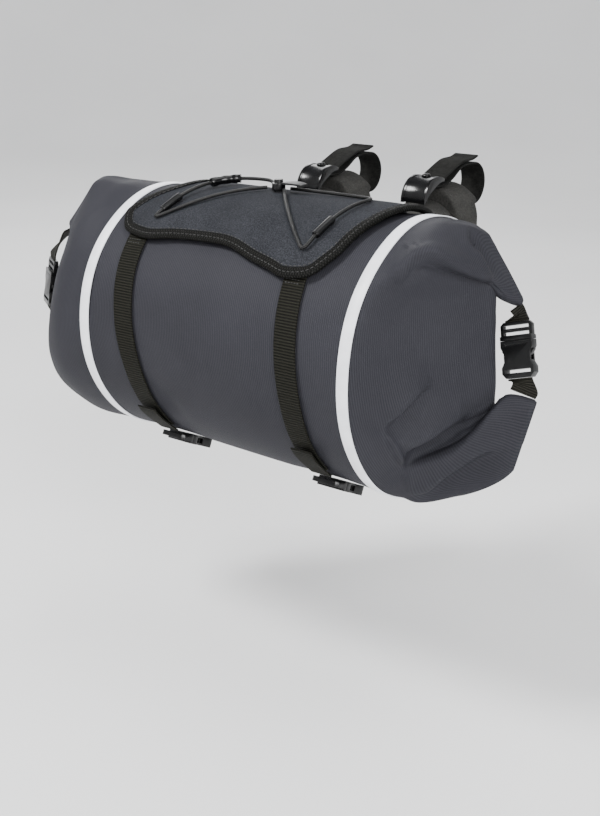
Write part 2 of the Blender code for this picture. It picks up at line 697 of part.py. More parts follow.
def build_clip(side_name, x):
    """A glossy hook of crescent section over the front foam, with a rivet on top."""
    steps = 8
    span = CLIP_FRONT_ANGLE - CLIP_REAR_ANGLE
    outer, inner = [], []
    for i in range(steps + 1):
        angle = CLIP_REAR_ANGLE + span * i / steps
        thick = CLIP_THICK * (0.35 + 0.65 * sin(pi * i / steps))
        outer.append(clip_place(angle, CLIP_RADIUS))
        inner.insert(0, clip_place(angle, CLIP_RADIUS - thick))
    side_prism(f"mount_clip_{side_name}", outer + inner, x, CLIP_WIDTH, plastic_material("clip"))
    rivet = side_prism(f"clip_rivet_{side_name}", arc((0, 0), RIVET_RADIUS, 0, 330, 11), x, RIVET_HEIGHT,
                       plastic_material("rivet"))
    top = Vector((x, CLIP_BACK, CLIP_UP + CLIP_RADIUS + RIVET_HEIGHT / 2 + GAP))
    rivet.matrix_world = Matrix.Translation(BAG_CENTRE + top)


def build_mount_strap(side_name, x):
    """Hook-and-loop webbing: sewn behind the rear foam, round the bar, through the clip and back over itself."""
    loop = BAR_RADIUS + BAR_CLEAR
    over = REAR_FOAM_TOP + 2 * GAP
    path = [(FOAM_REAR_BACK + GAP, FOAM_LOW + 8 * MM), (FOAM_REAR_BACK + GAP, FOAM_LOW + 30 * MM),
            (BAR_BACK - 10 * MM, BAR_UP - loop - 6 * MM)]
    path += arc((BAR_BACK, BAR_UP), loop, -90, 90, 10)
    path += [(BAR_BACK - 20 * MM, BAR_UP + loop - 1 * MM), (BAR_BACK - 36 * MM, over + 4 * MM),
             (CLIP_BACK + 12 * MM, over), (CLIP_BACK - 6 * MM, over)]
    centres = [Vector((x, y, z)) for y, z in path]
    half = Vector((MOUNT_WEB_WIDTH / 2, 0, 0))
    name = f"mount_strap_{side_name}"
    ribbon(name, centres, [half] * len(centres), MOUNT_WEB, webbing_material(name))
    clip_end = clip_place(CLIP_REAR_ANGLE, CLIP_RADIUS)
    tail_path = [(clip_end[0] + 2 * GAP, clip_end[1] - 1 * MM), (clip_end[0] + 10 * MM, clip_end[1] + 3 * MM),
                 (BAR_BACK - 20 * MM, BAR_UP + loop + MOUNT_WEB + 1 * MM),
                 (BAR_BACK - 3 * MM, BAR_UP + loop + MOUNT_WEB + 2 * MM),
                 (BAR_BACK + 5 * MM, BAR_UP + loop + MOUNT_WEB + 4 * MM)]
    tail_centres = [Vector((x, y, z)) for y, z in tail_path]
    ribbon(f"mount_strap_tail_{side_name}", tail_centres, [-half] * len(tail_centres), MOUNT_WEB,
           webbing_material(f"tail_{side_name}"))


# Elastic cord


def on_flap(place, lift=0.0):
    return on_body(place[0] * BAND_X, place[1], flap_lift() + FLAP + lift)


def cord_curve(name, route):
    """A round cord through a smooth curve of its route: x share, angle and height above the flap in cord widths."""
    stops = [Vector(point) for point in route]
    keys = list(range(len(stops)))
    count = 4 * keys[-1]
    curve = bpy.data.curves.new(name, "CURVE")
    curve.dimensions = "3D"
    curve.bevel_depth = CORD / 2
    curve.bevel_resolution = 2
    curve.use_fill_caps = True
    curve.materials.append(webbing_material(name))
    spline = curve.splines.new("POLY")
    spline.points.add(count - 1)
    for i, point in enumerate(spline.points):
        x, angle, height = smooth_between(keys, stops, i * keys[-1] / (count - 1))
        point.co = (*on_flap((x, angle), 2 * GAP + CORD * (0.5 + height)), 1)
    obj = bpy.data.objects.new(name, curve)
    obj.location = BAG_CENTRE
    bpy.context.scene.collection.objects.link(obj)
    return obj


def route_place(route, at):
    stops = [Vector(point) for point in route]
    x, angle, height = smooth_between(list(range(len(stops))), stops, at)
    return on_flap((x, angle), 2 * GAP + CORD * (0.5 + height)), outward(angle)


def build_sleeve(name, route, start, reach, wall):
    """A tube round the cord between two places of its route."""
    radius = CORD / 2 + 2 * GAP + wall
    steps = 5
    rows = []
    for i in range(steps + 1):
        at = start + reach * i / steps
        place, normal = route_place(route, at)
        way = (route_place(route, at + 0.05)[0] - route_place(route, at - 0.05)[0]).normalized()
        across = way.cross(normal).normalized()
        up = across.cross(way)
        ring = [k * pi / 4 for k in range(8)]
        rows.append([place + across * (radius * cos(angle)) + up * (radius * sin(angle)) for angle in ring])
    points, faces = grid(rows, closed_columns=True)
    sleeve = new_object(name, points, faces, plastic_material(name))
    solidify(sleeve, wall, outward=False)


def build_lock():
    """The cord lock and the webbing tab that pulls it."""
    half = LOCK_SIZE / 2
    lock = prism("cord_lock", [(-half, -half), (half, -half), (half, half), (-half, half)], LOCK_SIZE * 0.8,
                 plastic_material("cord_lock"))
    normal = outward(CORD_LOCK[1])
    turn = Matrix((Vector((1, 0, 0)), -around(CORD_LOCK[1]), -normal)).transposed().to_4x4()
    centre = on_flap(CORD_LOCK, GAP + LOCK_SIZE * 0.4)
    lock.matrix_world = Matrix.Translation(BAG_CENTRE + centre) @ turn
    start = centre + Vector((half + GAP, 0, 0)) + normal * (LOCK_SIZE * 0.2)
    across = around(CORD_LOCK[1]) * (PULL_WIDTH / 2)
    centres = [start, start + Vector((PULL_LENGTH / 2, 0, 0)) + normal * MM, start + Vector((PULL_LENGTH, 0, 0))]
    ribbon("cord_pull_tab", centres, [across] * 3, WEB, webbing_material("cord_pull_tab"))


def build_bungee():
    """A bow of elastic cord: two loops that leave the lock and come back to it."""
    for name, route in (("left", CORD_LEFT), ("right", CORD_RIGHT)):
        cord_curve(f"bungee_{name}", route)
    build_sleeve("cord_barrel", CORD_LEFT, *BARREL_SPAN, BARREL_WALL)
    build_sleeve("cord_keeper_left", CORD_LEFT, *KEEPER_SPAN, KEEPER_WALL)
    build_sleeve("cord_keeper_right", CORD_RIGHT, *KEEPER_SPAN, KEEPER_WALL)
    build_lock()


def main():
    clear_scene()
    build_body()
    for name, side in (("left", -1), ("right", 1)):
        build_band(f"reflective_band_{name}", side * BAND_X)
    build_flap()
    build_binding()
    build_back_panel()
    for name, table in (("left", LEFT_STRAP), ("right", RIGHT_STRAP)):
        build_front_strap(name, table)
        x = table[-1][1] * BAND_X
        build_bottom_buckle(name, x)
        build_lower_strap(name, x)
        build_strap_tail(name, x)
    build_bungee()
    build_closure("left", LEFT_END, -1, LEFT_REACH)
    build_closure("right", RIGHT_END, 1, RIGHT_REACH)
    for name, side in (("left", -1), ("right", 1)):
        build_foam(name, side * MOUNT_X)
        build_clip(name, side * MOUNT_X)
        build_mount_strap(name, side * MOUNT_X)


main()
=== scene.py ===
"""Looks of the roll-closed handlebar bag: fine cloth, webbing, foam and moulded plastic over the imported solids."""

from math import asin, cos, pi, radians, sin, sqrt

import bmesh
import bpy
import numpy as np
from mathutils import Matrix, Vector


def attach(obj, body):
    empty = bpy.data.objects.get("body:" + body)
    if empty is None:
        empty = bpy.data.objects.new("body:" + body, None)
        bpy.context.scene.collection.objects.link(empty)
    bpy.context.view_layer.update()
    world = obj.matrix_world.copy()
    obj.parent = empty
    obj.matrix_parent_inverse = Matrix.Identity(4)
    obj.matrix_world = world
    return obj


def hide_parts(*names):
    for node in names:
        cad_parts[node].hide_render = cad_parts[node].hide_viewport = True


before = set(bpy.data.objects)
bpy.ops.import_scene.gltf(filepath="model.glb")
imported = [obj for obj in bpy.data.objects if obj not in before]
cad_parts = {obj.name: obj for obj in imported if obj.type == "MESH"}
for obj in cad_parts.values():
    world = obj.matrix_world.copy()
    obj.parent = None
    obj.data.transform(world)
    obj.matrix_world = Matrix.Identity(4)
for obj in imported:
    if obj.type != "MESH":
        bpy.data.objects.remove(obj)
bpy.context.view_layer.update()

MM = 0.001

# Bag tube
BODY_RADIUS = 104 * MM
RING_X = 138.5 * MM
RIGHT_REACH = 55.5 * MM
LEFT_REACH = 69.5 * MM
CLOTH = 1.2 * MM
SHEET_GAP = 0.6 * MM
ROLL_AIR = 0.4 * MM
STRAP_SQUEEZE = 1.0 * MM
BODY_SAG = 7.7 * MM
SAG_TO_RIGHT = 3.3 * MM

# Handlebar, seen from the bag's axis
BAR_BACK = 180 * MM
BAR_UP = 102 * MM
BAR_RADIUS = 16 * MM

# Webbing and clearances
GAP = 0.3 * MM
WEB_WIDTH = 20 * MM
WEB = 1.5 * MM
BAND_X = 133 * MM
BAND_WIDTH = 10 * MM
BAND = 0.8 * MM

# Harness
FLAP = 2.2 * MM
BINDING_WIDTH = 7 * MM
BINDING = 0.6 * MM
BINDING_CLEAR = 0.6 * MM
FLAP_REAR_ANGLE = 115
PANEL = 2 * MM
PANEL_HALF_WIDTH = 86 * MM
PANEL_TOP_ANGLE = 108
PANEL_LOW_ANGLE = 236
FRONT_STRAP_LOW_ANGLE = -50
BUCKLE_ANGLE = -68

# Mounts on the handlebar
MOUNT_X = 56 * MM
MOUNT_WEB_WIDTH = 24 * MM
MOUNT_WEB = 1.8 * MM
FOAM_WIDTH = 58 * MM
FOAM_LOW = 34 * MM
FRONT_FOAM_TOP = 94 * MM
REAR_FOAM_TOP = 105 * MM
FOAM_JOINT_BACK = 127 * MM
FOAM_REAR_BACK = 160 * MM
BAR_CLEAR = 1 * MM
CLIP_WIDTH = 23 * MM
CLIP_BACK = 120 * MM
CLIP_UP = FRONT_FOAM_TOP + GAP
CLIP_RADIUS = 20 * MM
CLIP_FRONT_ANGLE = 180
CLIP_REAR_ANGLE = 60
RIVET_RADIUS = 4.2 * MM
RIVET_HEIGHT = 2.2 * MM

# Side-release buckles
BUCKLE_WIDTH = 26 * MM
BUCKLE_THICK = 8 * MM
SOCKET_LENGTH = 28 * MM
PLUG_BASE = 14 * MM
BUCKLE_WALL = 1.5 * MM

# Closure loops at the ends
EAR_ANGLE = 80
EAR_STRAIGHT = 5 * MM
EAR_CLEAR = 1.8 * MM
CLOSURE_OUT = {"left": 20 * MM, "right": -1 * MM}
CLOSURE_TURN = {"left": 0.6, "right": 0.0}
CLOSURE_LEAVE = {"left": 5 * MM, "right": 1 * MM}

# Elastic cord on the flap
CORD = 3 * MM
LOCK_SIZE = 11 * MM
PULL_WIDTH = 11 * MM
PULL_LENGTH = 20 * MM
BARREL_WALL = 1.8 * MM
KEEPER_WALL = 1.2 * MM

BAG_CENTRE = Vector((0, -BAR_BACK, -BAR_UP))

# Each row is one generator of an end, from the tube's ring to the rolled closure.
# x is a share of the end's reach past the ring, y and z are shares of the body radius.
# mid lies on the front sheet, back on the back sheet, neck where the sheets meet, edge on the roll's outer edge.
END_COLUMNS = ("angle", "mid", "back", "neck", "edge")
RIGHT_END = (
    (-90, (0.78, -0.08, -1.01), (0.78, -0.08, -1.01), (1.42, -0.03, -0.74), (1.65, 0.00, -0.25)),
    (-76, (0.21, -0.27, -1.07), (0.68, 0.08, -0.92), (1.17, -0.08, -0.64), (1.41, -0.03, -0.23)),
    (-63, (0.21, -0.40, -0.81), (0.60, 0.17, -0.79), (0.87, -0.21, -0.52), (1.20, -0.06, -0.25)),
    (-50, (0.24, -0.42, -0.67), (0.50, 0.27, -0.62), (0.68, -0.19, -0.48), (1.05, 0.00, -0.33)),
    (-36, (0.35, -0.58, -0.48), (0.42, 0.35, -0.44), (0.71, -0.26, -0.38), (1.04, 0.00, -0.27)),
    (-20, (0.30, -0.65, -0.27), (0.39, 0.38, -0.23), (0.69, -0.28, -0.21), (1.04, 0.00, -0.15)),
    (0, (0.30, -0.68, 0.02), (0.39, 0.40, 0.04), (0.68, -0.30, 0.06), (1.02, 0.00, 0.08)),
    (22, (0.30, -0.65, 0.33), (0.39, 0.40, 0.33), (0.68, -0.29, 0.33), (1.00, 0.00, 0.33)),
    (36, (0.31, -0.60, 0.54), (0.39, 0.40, 0.54), (0.64, -0.29, 0.52), (0.98, 0.00, 0.52)),
    (46, (0.53, -0.62, 0.77), (0.42, 0.40, 0.69), (0.80, -0.33, 0.71), (1.00, -0.03, 0.60)),
    (60, (0.53, -0.40, 0.93), (0.46, 0.37, 0.83), (0.82, -0.15, 0.81), (1.09, 0.02, 0.56)),
    (75, (0.39, -0.15, 1.01), (0.42, 0.27, 0.94), (0.69, 0.02, 0.94), (1.18, 0.12, 0.51)),
    (90, (0.35, 0.08, 1.00), (0.35, 0.08, 1.00), (0.71, 0.19, 0.90), (1.23, 0.21, 0.48)),
)
LEFT_END = (
    (-90, (0.56, -0.06, -1.02), (0.56, -0.06, -1.02), (1.05, -0.13, -0.90), (1.38, -0.35, -0.50)),
    (-76, (0.60, -0.30, -1.00), (0.52, 0.19, -0.90), (1.12, -0.30, -0.86), (1.33, -0.42, -0.46)),
    (-63, (0.62, -0.50, -0.92), (0.56, 0.19, -0.76), (1.12, -0.50, -0.76), (1.25, -0.46, -0.46)),
    (-50, (0.66, -0.66, -0.79), (0.58, 0.23, -0.60), (1.10, -0.62, -0.64), (1.18, -0.48, -0.44)),
    (-36, (0.64, -0.82, -0.60), (0.58, 0.25, -0.42), (1.03, -0.72, -0.48), (1.12, -0.50, -0.37)),
    (-20, (0.58, -0.93, -0.36), (0.57, 0.27, -0.21), (0.93, -0.80, -0.28), (1.06, -0.50, -0.22)),
    (0, (0.48, -0.97, -0.02), (0.57, 0.27, 0.02), (0.83, -0.81, 0.00), (1.03, -0.50, 0.02)),
    (22, (0.42, -0.90, 0.37), (0.57, 0.27, 0.29), (0.77, -0.75, 0.31), (1.00, -0.48, 0.29)),
    (36, (0.38, -0.81, 0.58), (0.54, 0.27, 0.50), (0.73, -0.67, 0.52), (1.00, -0.46, 0.49)),
    (46, (0.36, -0.73, 0.70), (0.51, 0.27, 0.63), (0.72, -0.60, 0.67), (1.02, -0.45, 0.60)),
    (60, (0.34, -0.54, 0.88), (0.48, 0.25, 0.82), (0.70, -0.47, 0.87), (1.08, -0.41, 0.64)),
    (75, (0.33, -0.31, 1.01), (0.42, 0.15, 0.96), (0.70, -0.36, 1.00), (1.14, -0.37, 0.66)),
    (90, (0.35, -0.06, 1.03), (0.35, -0.06, 1.03), (0.72, -0.24, 1.04), (1.18, -0.29, 0.65)),
)

# Stations of the closure's roll: share of the strip's width, turn's radius, layers deep, and turn in degrees.
ROLL = (
    (1.00, 1.0, 1.0, 30),
    (1.00, 1.0, 1.0, 60),
    (1.00, 1.0, 1.0, 90),
    (1.00, 1.0, 1.0, 120),
    (1.00, 1.0, 1.0, 150),
    (1.00, 1.0, 1.0, 180),
    (0.70, 0.75, 1.25, 180),
    (0.42, 0.5, 1.5, 180),
    (0.42, 0.5, 1.5, 225),
    (0.42, 0.5, 1.5, 270),
    (0.42, 0.5, 1.5, 315),
    (0.42, 0.5, 1.5, 360),
    (0.85, 0.5, 1.5, 360),
)

# Flap outline: x as a share of the band's place, and the angle. Front edge from left to right.
FLAP_FRONT = ((-0.91, 56), (-0.86, 50), (-0.80, 46), (-0.62, 44), (-0.42, 46), (-0.12, 47), (0.04, 46),
              (0.21, 42), (0.38, 39), (0.47, 37), (0.61, 38), (0.69, 41), (0.78, 51))
FLAP_LEFT = ((-0.91, 56), (-0.86, 66), (-0.81, 73), (-0.76, 81), (-0.74, 92), (-0.74, 103), (-0.74, FLAP_REAR_ANGLE))
FLAP_RIGHT = ((0.78, 51), (0.81, 63), (0.84, 73), (0.86, 83), (0.87, 94), (0.85, 104), (0.82, FLAP_REAR_ANGLE))

# Straps down the front: angle, and x as a share of the band's place.
LEFT_STRAP = ((49, -0.72), (30, -0.70), (10, -0.66), (-15, -0.61), (-35, -0.59), (FRONT_STRAP_LOW_ANGLE, -0.58))
RIGHT_STRAP = ((43, 0.55), (30, 0.57), (10, 0.60), (-15, 0.63), (-35, 0.64), (FRONT_STRAP_LOW_ANGLE, 0.65))

# The elastic cord's route on the flap: x as a share of the band's place, angle, and height in cord widths.
CORD_LOCK = (-0.05, 89)
CORD_LEFT = ((-0.115, 87, 0.6), (-0.30, 75, 0.5), (-0.52, 60, 0.2), (-0.62, 54, 0.3), (-0.60, 59, 0.6),
             (-0.53, 76, 1.0), (-0.44, 88, 1.3), (-0.34, 93, 1.6), (-0.20, 95, 1.6), (-0.115, 92, 0.9))
CORD_RIGHT = ((0.015, 87, 0.4), (0.22, 71, 0.5), (0.48, 53, 0.2), (0.56, 49.5, 0.4), (0.59, 57, 0.7),
              (0.62, 75, 0.6), (0.62, 88, 0.2), (0.55, 94, 0.1), (0.30, 93, 0.3), (0.015, 91.5, 0.4))
KEEPER_SPAN = (3.9, 4.5)
BARREL_SPAN = (5.4, 6.6)

# Folds of the cloth: kind, how wide it is, how high or deep, how far it fades, all in millimetres, and its line
# in millimetres from the middle of the bag. A step stands up on the left of its line, seen from outside, and
# falls away on the right. A ridge is sharp and a valley, which is below zero, is round.
FOLD_COLUMNS = ("kind", "width", "height", "fade", "line")
FOLDS = (
    ("step", 2.6, 12.0, 12, ((157, -70, 69), (162, -67, 77), (168, -63, 86), (174, -55, 86), (181, -42, 78),
                             (190, -20, 68), (197, 0, 63))),
    ("step", 3.0, -6.5, 14, ((170, 1, 102), (179, -14, 92), (185, -10, 83), (194, -6, 66))),
    ("step", 4.5, 14.0, 16, ((150, -77, -42), (155, -69, -33), (160, -59, -23), (166, -50, -15), (172, -42, -10))),
    ("step", 4.5, 12.0, 15, ((153, -52, -66), (158, -45, -58), (165, -39, -52), (175, -29, -46), (186, -16, -44))),
    ("ridge", 3.6, 13.0, 0, ((151, -77, -38), (153, -70, -49), (152, -60, -62), (150, -46, -83), (148, -33, -107))),
    ("step", 3.0, -8.0, 14, ((149, -47, -78), (156, -39, -73), (164, -34, -69), (178, -27, -61), (192, -17, -47),
                             (199, -11, -36), (207, -6, -25))),
    ("step", 3.2, 9.0, 15, ((150, -36, -106), (159, -27, -102), (176, -22, -84), (195, -13, -69), (213, -5, -61))),
    ("valley", 10, -3.5, 0, ((148, -87, -14), (149, -81, -30), (149, -72, -52), (144, -55, -78))),
    ("valley", 8, -2.2, 0, ((112, -100, -28), (126, -95, -44), (136, -84, -66))),
    ("valley", 9, -1.6, 0, ((-66, -98, -34), (-52, -86, -60), (-46, -66, -84))),
    ("ridge", 6, 1.6, 0, ((104, -98, 30), (118, -100, 10), (124, -98, -20))),
    ("valley", 10, -3.6, 0, ((-148, -88, 56), (-158, -88, 14), (-166, -80, -30))),
    ("step", 4.0, 4.0, 16, ((-146, -76, -60), (-160, -68, -64), (-178, -58, -62))),
    ("ridge", 5, 3.0, 0, ((-146, -50, 92), (-160, -62, 80), (-176, -70, 60))),
    ("valley", 10, -4.0, 0, ((150, 70, 60), (160, 62, 20), (160, 60, -30))),
    ("valley", 10, -4.0, 0, ((-152, 66, 60), (-164, 58, 10), (-160, 60, -40))),
)

FRONT_LINES = 190
BACK_LINES = 84
TUBE_STATIONS = 40
END_STEPS = {-1: (10, 8, 5), 1: (24, 16, 12)}


# Shared curves


def smooth_between(keys, values, at):
    """A smooth curve through values at rising keys, with tangents from the neighbours on both sides."""
    last = len(keys) - 1
    at = min(max(at, keys[0]), keys[last])
    i = next(k for k in range(last) if at <= keys[k + 1])

    def slope(k):
        low, high = max(k - 1, 0), min(k + 1, last)
        return (values[high] - values[low]) / (keys[high] - keys[low])

    span = keys[i + 1] - keys[i]
    s = (at - keys[i]) / span
    start = values[i] * (2 * s ** 3 - 3 * s ** 2 + 1) + slope(i) * (span * (s ** 3 - 2 * s ** 2 + s))
    end = values[i + 1] * (3 * s ** 2 - 2 * s ** 3) + slope(i + 1) * (span * (s ** 3 - s ** 2))
    return start + end


def lengths(points):
    """How far along a chain of points each one is."""
    keys = [0.0]
    for before, after in zip(points, points[1:]):
        keys.append(keys[-1] + (after - before).length)
    return keys


def on_body(x, angle, lift):
    """A point that far above the tube's surface. The load draws the underside down, more towards the right."""
    sag = (BODY_SAG + SAG_TO_RIGHT * x / RING_X) * min(0.0, sin(radians(angle))) ** 2
    radius = BODY_RADIUS + sag + lift
    return Vector((x, -radius * cos(radians(angle)), radius * sin(radians(angle))))


def outward(angle):
    return Vector((0, -cos(radians(angle)), sin(radians(angle))))


def around(angle):
    return Vector((0, sin(radians(angle)), cos(radians(angle))))


def degrees_for(length):
    """The angle that a length takes up round the tube."""
    return length / BODY_RADIUS * 180 / pi


# Materials


class Finish:
    """A material and short ways to add shader nodes to it."""

    def __init__(self, name, roughness, **settings):
        self.made = bpy.data.materials.new(name)
        self.made.use_nodes = True
        self.nodes = self.made.node_tree.nodes
        self.links = self.made.node_tree.links
        self.shader = self.nodes["Principled BSDF"]
        self.feed(self.shader.inputs["Roughness"], roughness)
        for socket, value in settings.items():
            self.shader.inputs[socket.replace("_", " ")].default_value = value

    def feed(self, socket, value):
        if isinstance(value, bpy.types.NodeSocket):
            self.links.new(value, socket)
        else:
            socket.default_value = value

    def math(self, operation, *values):
        node = self.nodes.new("ShaderNodeMath")
        node.operation = operation
        for socket, value in zip(node.inputs, values):
            self.feed(socket, value)
        return node.outputs[0]

    def total(self, *parts):
        """The weighted sum of (value, weight) pairs."""
        result = self.math("MULTIPLY", *parts[0])
        for value, weight in parts[1:]:
            result = self.math("MULTIPLY_ADD", value, weight, result)
        return result

    def uv(self):
        """Metres across and along the piece."""
        place = self.nodes.new("ShaderNodeUVMap")
        place.uv_map = "UVMap"
        split = self.nodes.new("ShaderNodeSeparateXYZ")
        self.links.new(place.outputs["UV"], split.inputs[0])
        return split.outputs["X"], split.outputs["Y"]

    def wave(self, along, pitch):
        """Ribs that far apart, from 0 to 1."""
        turns = self.math("MULTIPLY", along, 2 * pi / pitch)
        return self.math("MULTIPLY_ADD", self.math("SINE", turns), 0.5, 0.5)

    def grain(self, scale, detail=2.0, roughness=0.5, stretch=(1, 1, 1)):
        """Noise in the piece's own space, scale in grains a metre."""
        place = self.nodes.new("ShaderNodeTexCoord")
        mapping = self.nodes.new("ShaderNodeMapping")
        mapping.inputs["Scale"].default_value = stretch
        self.links.new(place.outputs["Object"], mapping.inputs["Vector"])
        noise = self.nodes.new("ShaderNodeTexNoise")
        self.links.new(mapping.outputs[0], noise.inputs["Vector"])
        noise.inputs["Scale"].default_value = scale
        noise.inputs["Detail"].default_value = detail
        noise.inputs["Roughness"].default_value = roughness
        return noise.outputs[0]

    def pores(self, scale):
        """Small cells: 0 in the middle of each."""
        place = self.nodes.new("ShaderNodeTexCoord")
        cells = self.nodes.new("ShaderNodeTexVoronoi")
        self.links.new(place.outputs["Object"], cells.inputs["Vector"])
        cells.inputs["Scale"].default_value = scale
        return cells.outputs["Distance"]

    def ramp(self, value, *stops):
        """A value turned into a colour through (position, colour) stops."""
        node = self.nodes.new("ShaderNodeValToRGB")
        self.links.new(value, node.inputs[0])
        while len(node.color_ramp.elements) < len(stops):
            node.color_ramp.elements.new(0.5)
        for element, (position, color) in zip(node.color_ramp.elements, stops):
            element.position = position
            element.color = (*color, 1)
        return node.outputs["Color"]

    def between(self, value, low, high):
        """A value from 0 to 1 spread over a range."""
        node = self.nodes.new("ShaderNodeMapRange")
        self.links.new(value, node.inputs["Value"])
        node.inputs["To Min"].default_value = low
        node.inputs["To Max"].default_value = high
        return node.outputs[0]

    def color(self, value):
        self.feed(self.shader.inputs["Base Color"], value)

    def rough(self, value):
        self.feed(self.shader.inputs["Roughness"], value)

    def bump(self, height, distance, strength=1.0):
        node = self.nodes.new("ShaderNodeBump")
        node.inputs["Strength"].default_value = strength
        node.inputs["Distance"].default_value = distance
        self.links.new(height, node.inputs["Height"])
        self.links.new(node.outputs[0], self.shader.inputs["Normal"])


def coated_cloth():
    """Anthracite twill with fine ribs under a thin coating."""
    finish = Finish("coated_twill", 0.6, Specular_IOR_Level=0.06)
    length, round_way = finish.uv()
    slant = finish.total((length, 1.0), (round_way, 0.07))
    rib = finish.wave(slant, 1.8 * MM)
    twill = finish.wave(finish.total((length, 1.0), (round_way, 1.0)), 0.95 * MM)
    fibre = finish.grain(1500, 2)
    cloud = finish.grain(14, 3)
    tone = finish.total((rib, 0.26), (twill, 0.12), (fibre, 0.32), (cloud, 0.30))
    finish.color(finish.ramp(tone, (0.25, (0.0165, 0.0165, 0.0200)), (0.75, (0.037, 0.037, 0.044))))
    finish.rough(finish.between(finish.total((fibre, 0.5), (cloud, 0.5)), 0.48, 0.68))
    finish.bump(finish.total((rib, 0.5), (twill, 0.25), (fibre, 0.4)), 0.16 * MM, 0.6)
    return finish.made


def heather_cloth():
    """Dark blue-grey cloth with light and dark threads mixed."""
    finish = Finish("heathered_cloth", 0.8, Specular_IOR_Level=0.05)
    speck = finish.grain(1050, 2, 0.6)
    fine = finish.grain(2300, 1)
    cloud = finish.grain(35, 3)
    tone = finish.total((speck, 0.6), (fine, 0.25), (cloud, 0.15))
    finish.color(finish.ramp(tone, (0.32, (0.009, 0.0095, 0.0115)), (0.5, (0.021, 0.0222, 0.026)),
                             (0.70, (0.050, 0.0525, 0.060))))
    finish.bump(finish.total((speck, 0.6), (fine, 0.4)), 0.3 * MM, 0.6)
    return finish.made


def webbing(pitch=2.2 * MM, light=(0.016, 0.0157, 0.0115), dark=(0.001, 0.001, 0.0007), name="webbing"):
    """Black webbing with cross ribs and a smooth woven edge."""
    finish = Finish(name, 0.72, Specular_IOR_Level=0.08)
    across, along = finish.uv()
    rib = finish.wave(along, pitch)
    thread = finish.wave(across, 1.0 * MM)
    offset = finish.wave(finish.total((across, 0.5), (along, 1.0)), pitch / 2)
    fibre = finish.grain(1800, 2)
    tone = finish.total((rib, 0.5), (thread, 0.1), (offset, 0.12), (fibre, 0.28))
    finish.color(finish.ramp(tone, (0.2, dark), (0.8, light)))
    finish.bump(finish.total((rib, 0.7), (thread, 0.15), (fibre, 0.25)), 0.45 * MM, 0.9)
    return finish.made


def binding_tape():
    """Folded tape with a chain of small ribs along both edges."""
    finish = Finish("binding_tape", 0.7, Specular_IOR_Level=0.08)
    across, along = finish.uv()
    slant = finish.total((along, 1.0), (across, 0.6))
    other = finish.total((along, 1.0), (across, -0.6))
    chain = finish.math("MULTIPLY", finish.wave(slant, 2.4 * MM), finish.wave(other, 2.4 * MM))
    fibre = finish.grain(1700, 2)
    tone = finish.total((chain, 0.65), (fibre, 0.35))
    finish.color(finish.ramp(tone, (0.12, (0.001, 0.001, 0.001)), (0.8, (0.017, 0.017, 0.015))))
    finish.bump(finish.total((chain, 0.8), (fibre, 0.2)), 0.6 * MM, 1.0)
    return finish.made


def hook_and_loop():
    """Heathered black loop fabric."""
    finish = Finish("hook_and_loop", 0.9, Specular_IOR_Level=0.06)
    across, along = finish.uv()
    edge = finish.math("GREATER_THAN", finish.math("ABSOLUTE", across), 9.6 * MM)
    loop = finish.grain(900, 3, 0.7)
    fluff = finish.grain(240, 2)
    hem = finish.wave(along, 1.6 * MM)
    tone = finish.total((loop, 0.65), (fluff, 0.35))
    cloth = finish.ramp(tone, (0.3, (0.002, 0.002, 0.002)), (0.72, (0.022, 0.022, 0.0205)))
    rim = finish.ramp(hem, (0.0, (0.003, 0.003, 0.003)), (1.0, (0.018, 0.018, 0.017)))
    mix = finish.nodes.new("ShaderNodeMix")
    mix.data_type = "RGBA"
    finish.feed(mix.inputs["Factor"], edge)
    finish.links.new(cloth, mix.inputs["A"])
    finish.links.new(rim, mix.inputs["B"])
    finish.color(mix.outputs["Result"])
    finish.bump(finish.total((loop, 0.7), (hem, 0.2)), 0.6 * MM, 0.8)
    return finish.made


def reflective_tape():
    """Light silver tape of fine glass beads."""
    finish = Finish("reflective_tape", 0.42, Specular_IOR_Level=0.5)
    bead = finish.grain(2600, 1)
    scuff = finish.grain(60, 4)
    tone = finish.total((bead, 0.4), (scuff, 0.6))
    finish.color(finish.ramp(tone, (0.3, (0.74, 0.75, 0.79)), (0.6, (0.92, 0.93, 0.97))))
    finish.rough(finish.between(scuff, 0.32, 0.55))
    finish.bump(bead, 0.08 * MM, 0.5)
    return finish.made


def moulded(name, color, roughness, mottle):
    """Moulded plastic with a slight unevenness in its gloss."""
    finish = Finish(name, roughness, Specular_IOR_Level=0.3, Coat_Weight=0.06, Coat_Roughness=0.15)
    cloud = finish.grain(90, 3)
    fine = finish.grain(1500, 2)
    lighter = tuple(share * 1.6 for share in color)
    finish.color(finish.ramp(finish.total((cloud, 0.6), (fine, 0.4)), (0.3, color), (0.8, lighter)))
    finish.rough(finish.between(cloud, roughness - mottle, roughness + mottle))
    finish.bump(finish.total((fine, 0.5), (cloud, 0.5)), 0.06 * MM, 0.5)
    return finish.made


def foam_finish(name, low, high):
    """Closed-cell foam with open pores and a few scratches."""
    finish = Finish(name, 0.88, Specular_IOR_Level=0.1)
    cell = finish.pores(620)
    fine = finish.grain(1400, 3, 0.7)
    cloud = finish.grain(55, 4, 0.6)
    scratch = finish.grain(160, 3, 0.7, stretch=(1, 0.12, 1))
    tone = finish.total((cell, 0.25), (fine, 0.3), (cloud, 0.3), (scratch, 0.25))
    finish.color(finish.ramp(tone, (0.3, low), (0.72, high)))
    finish.bump(finish.total((cell, 0.6), (fine, 0.5), (scratch, 0.4)), 0.6 * MM, 0.8)
    return finish.made


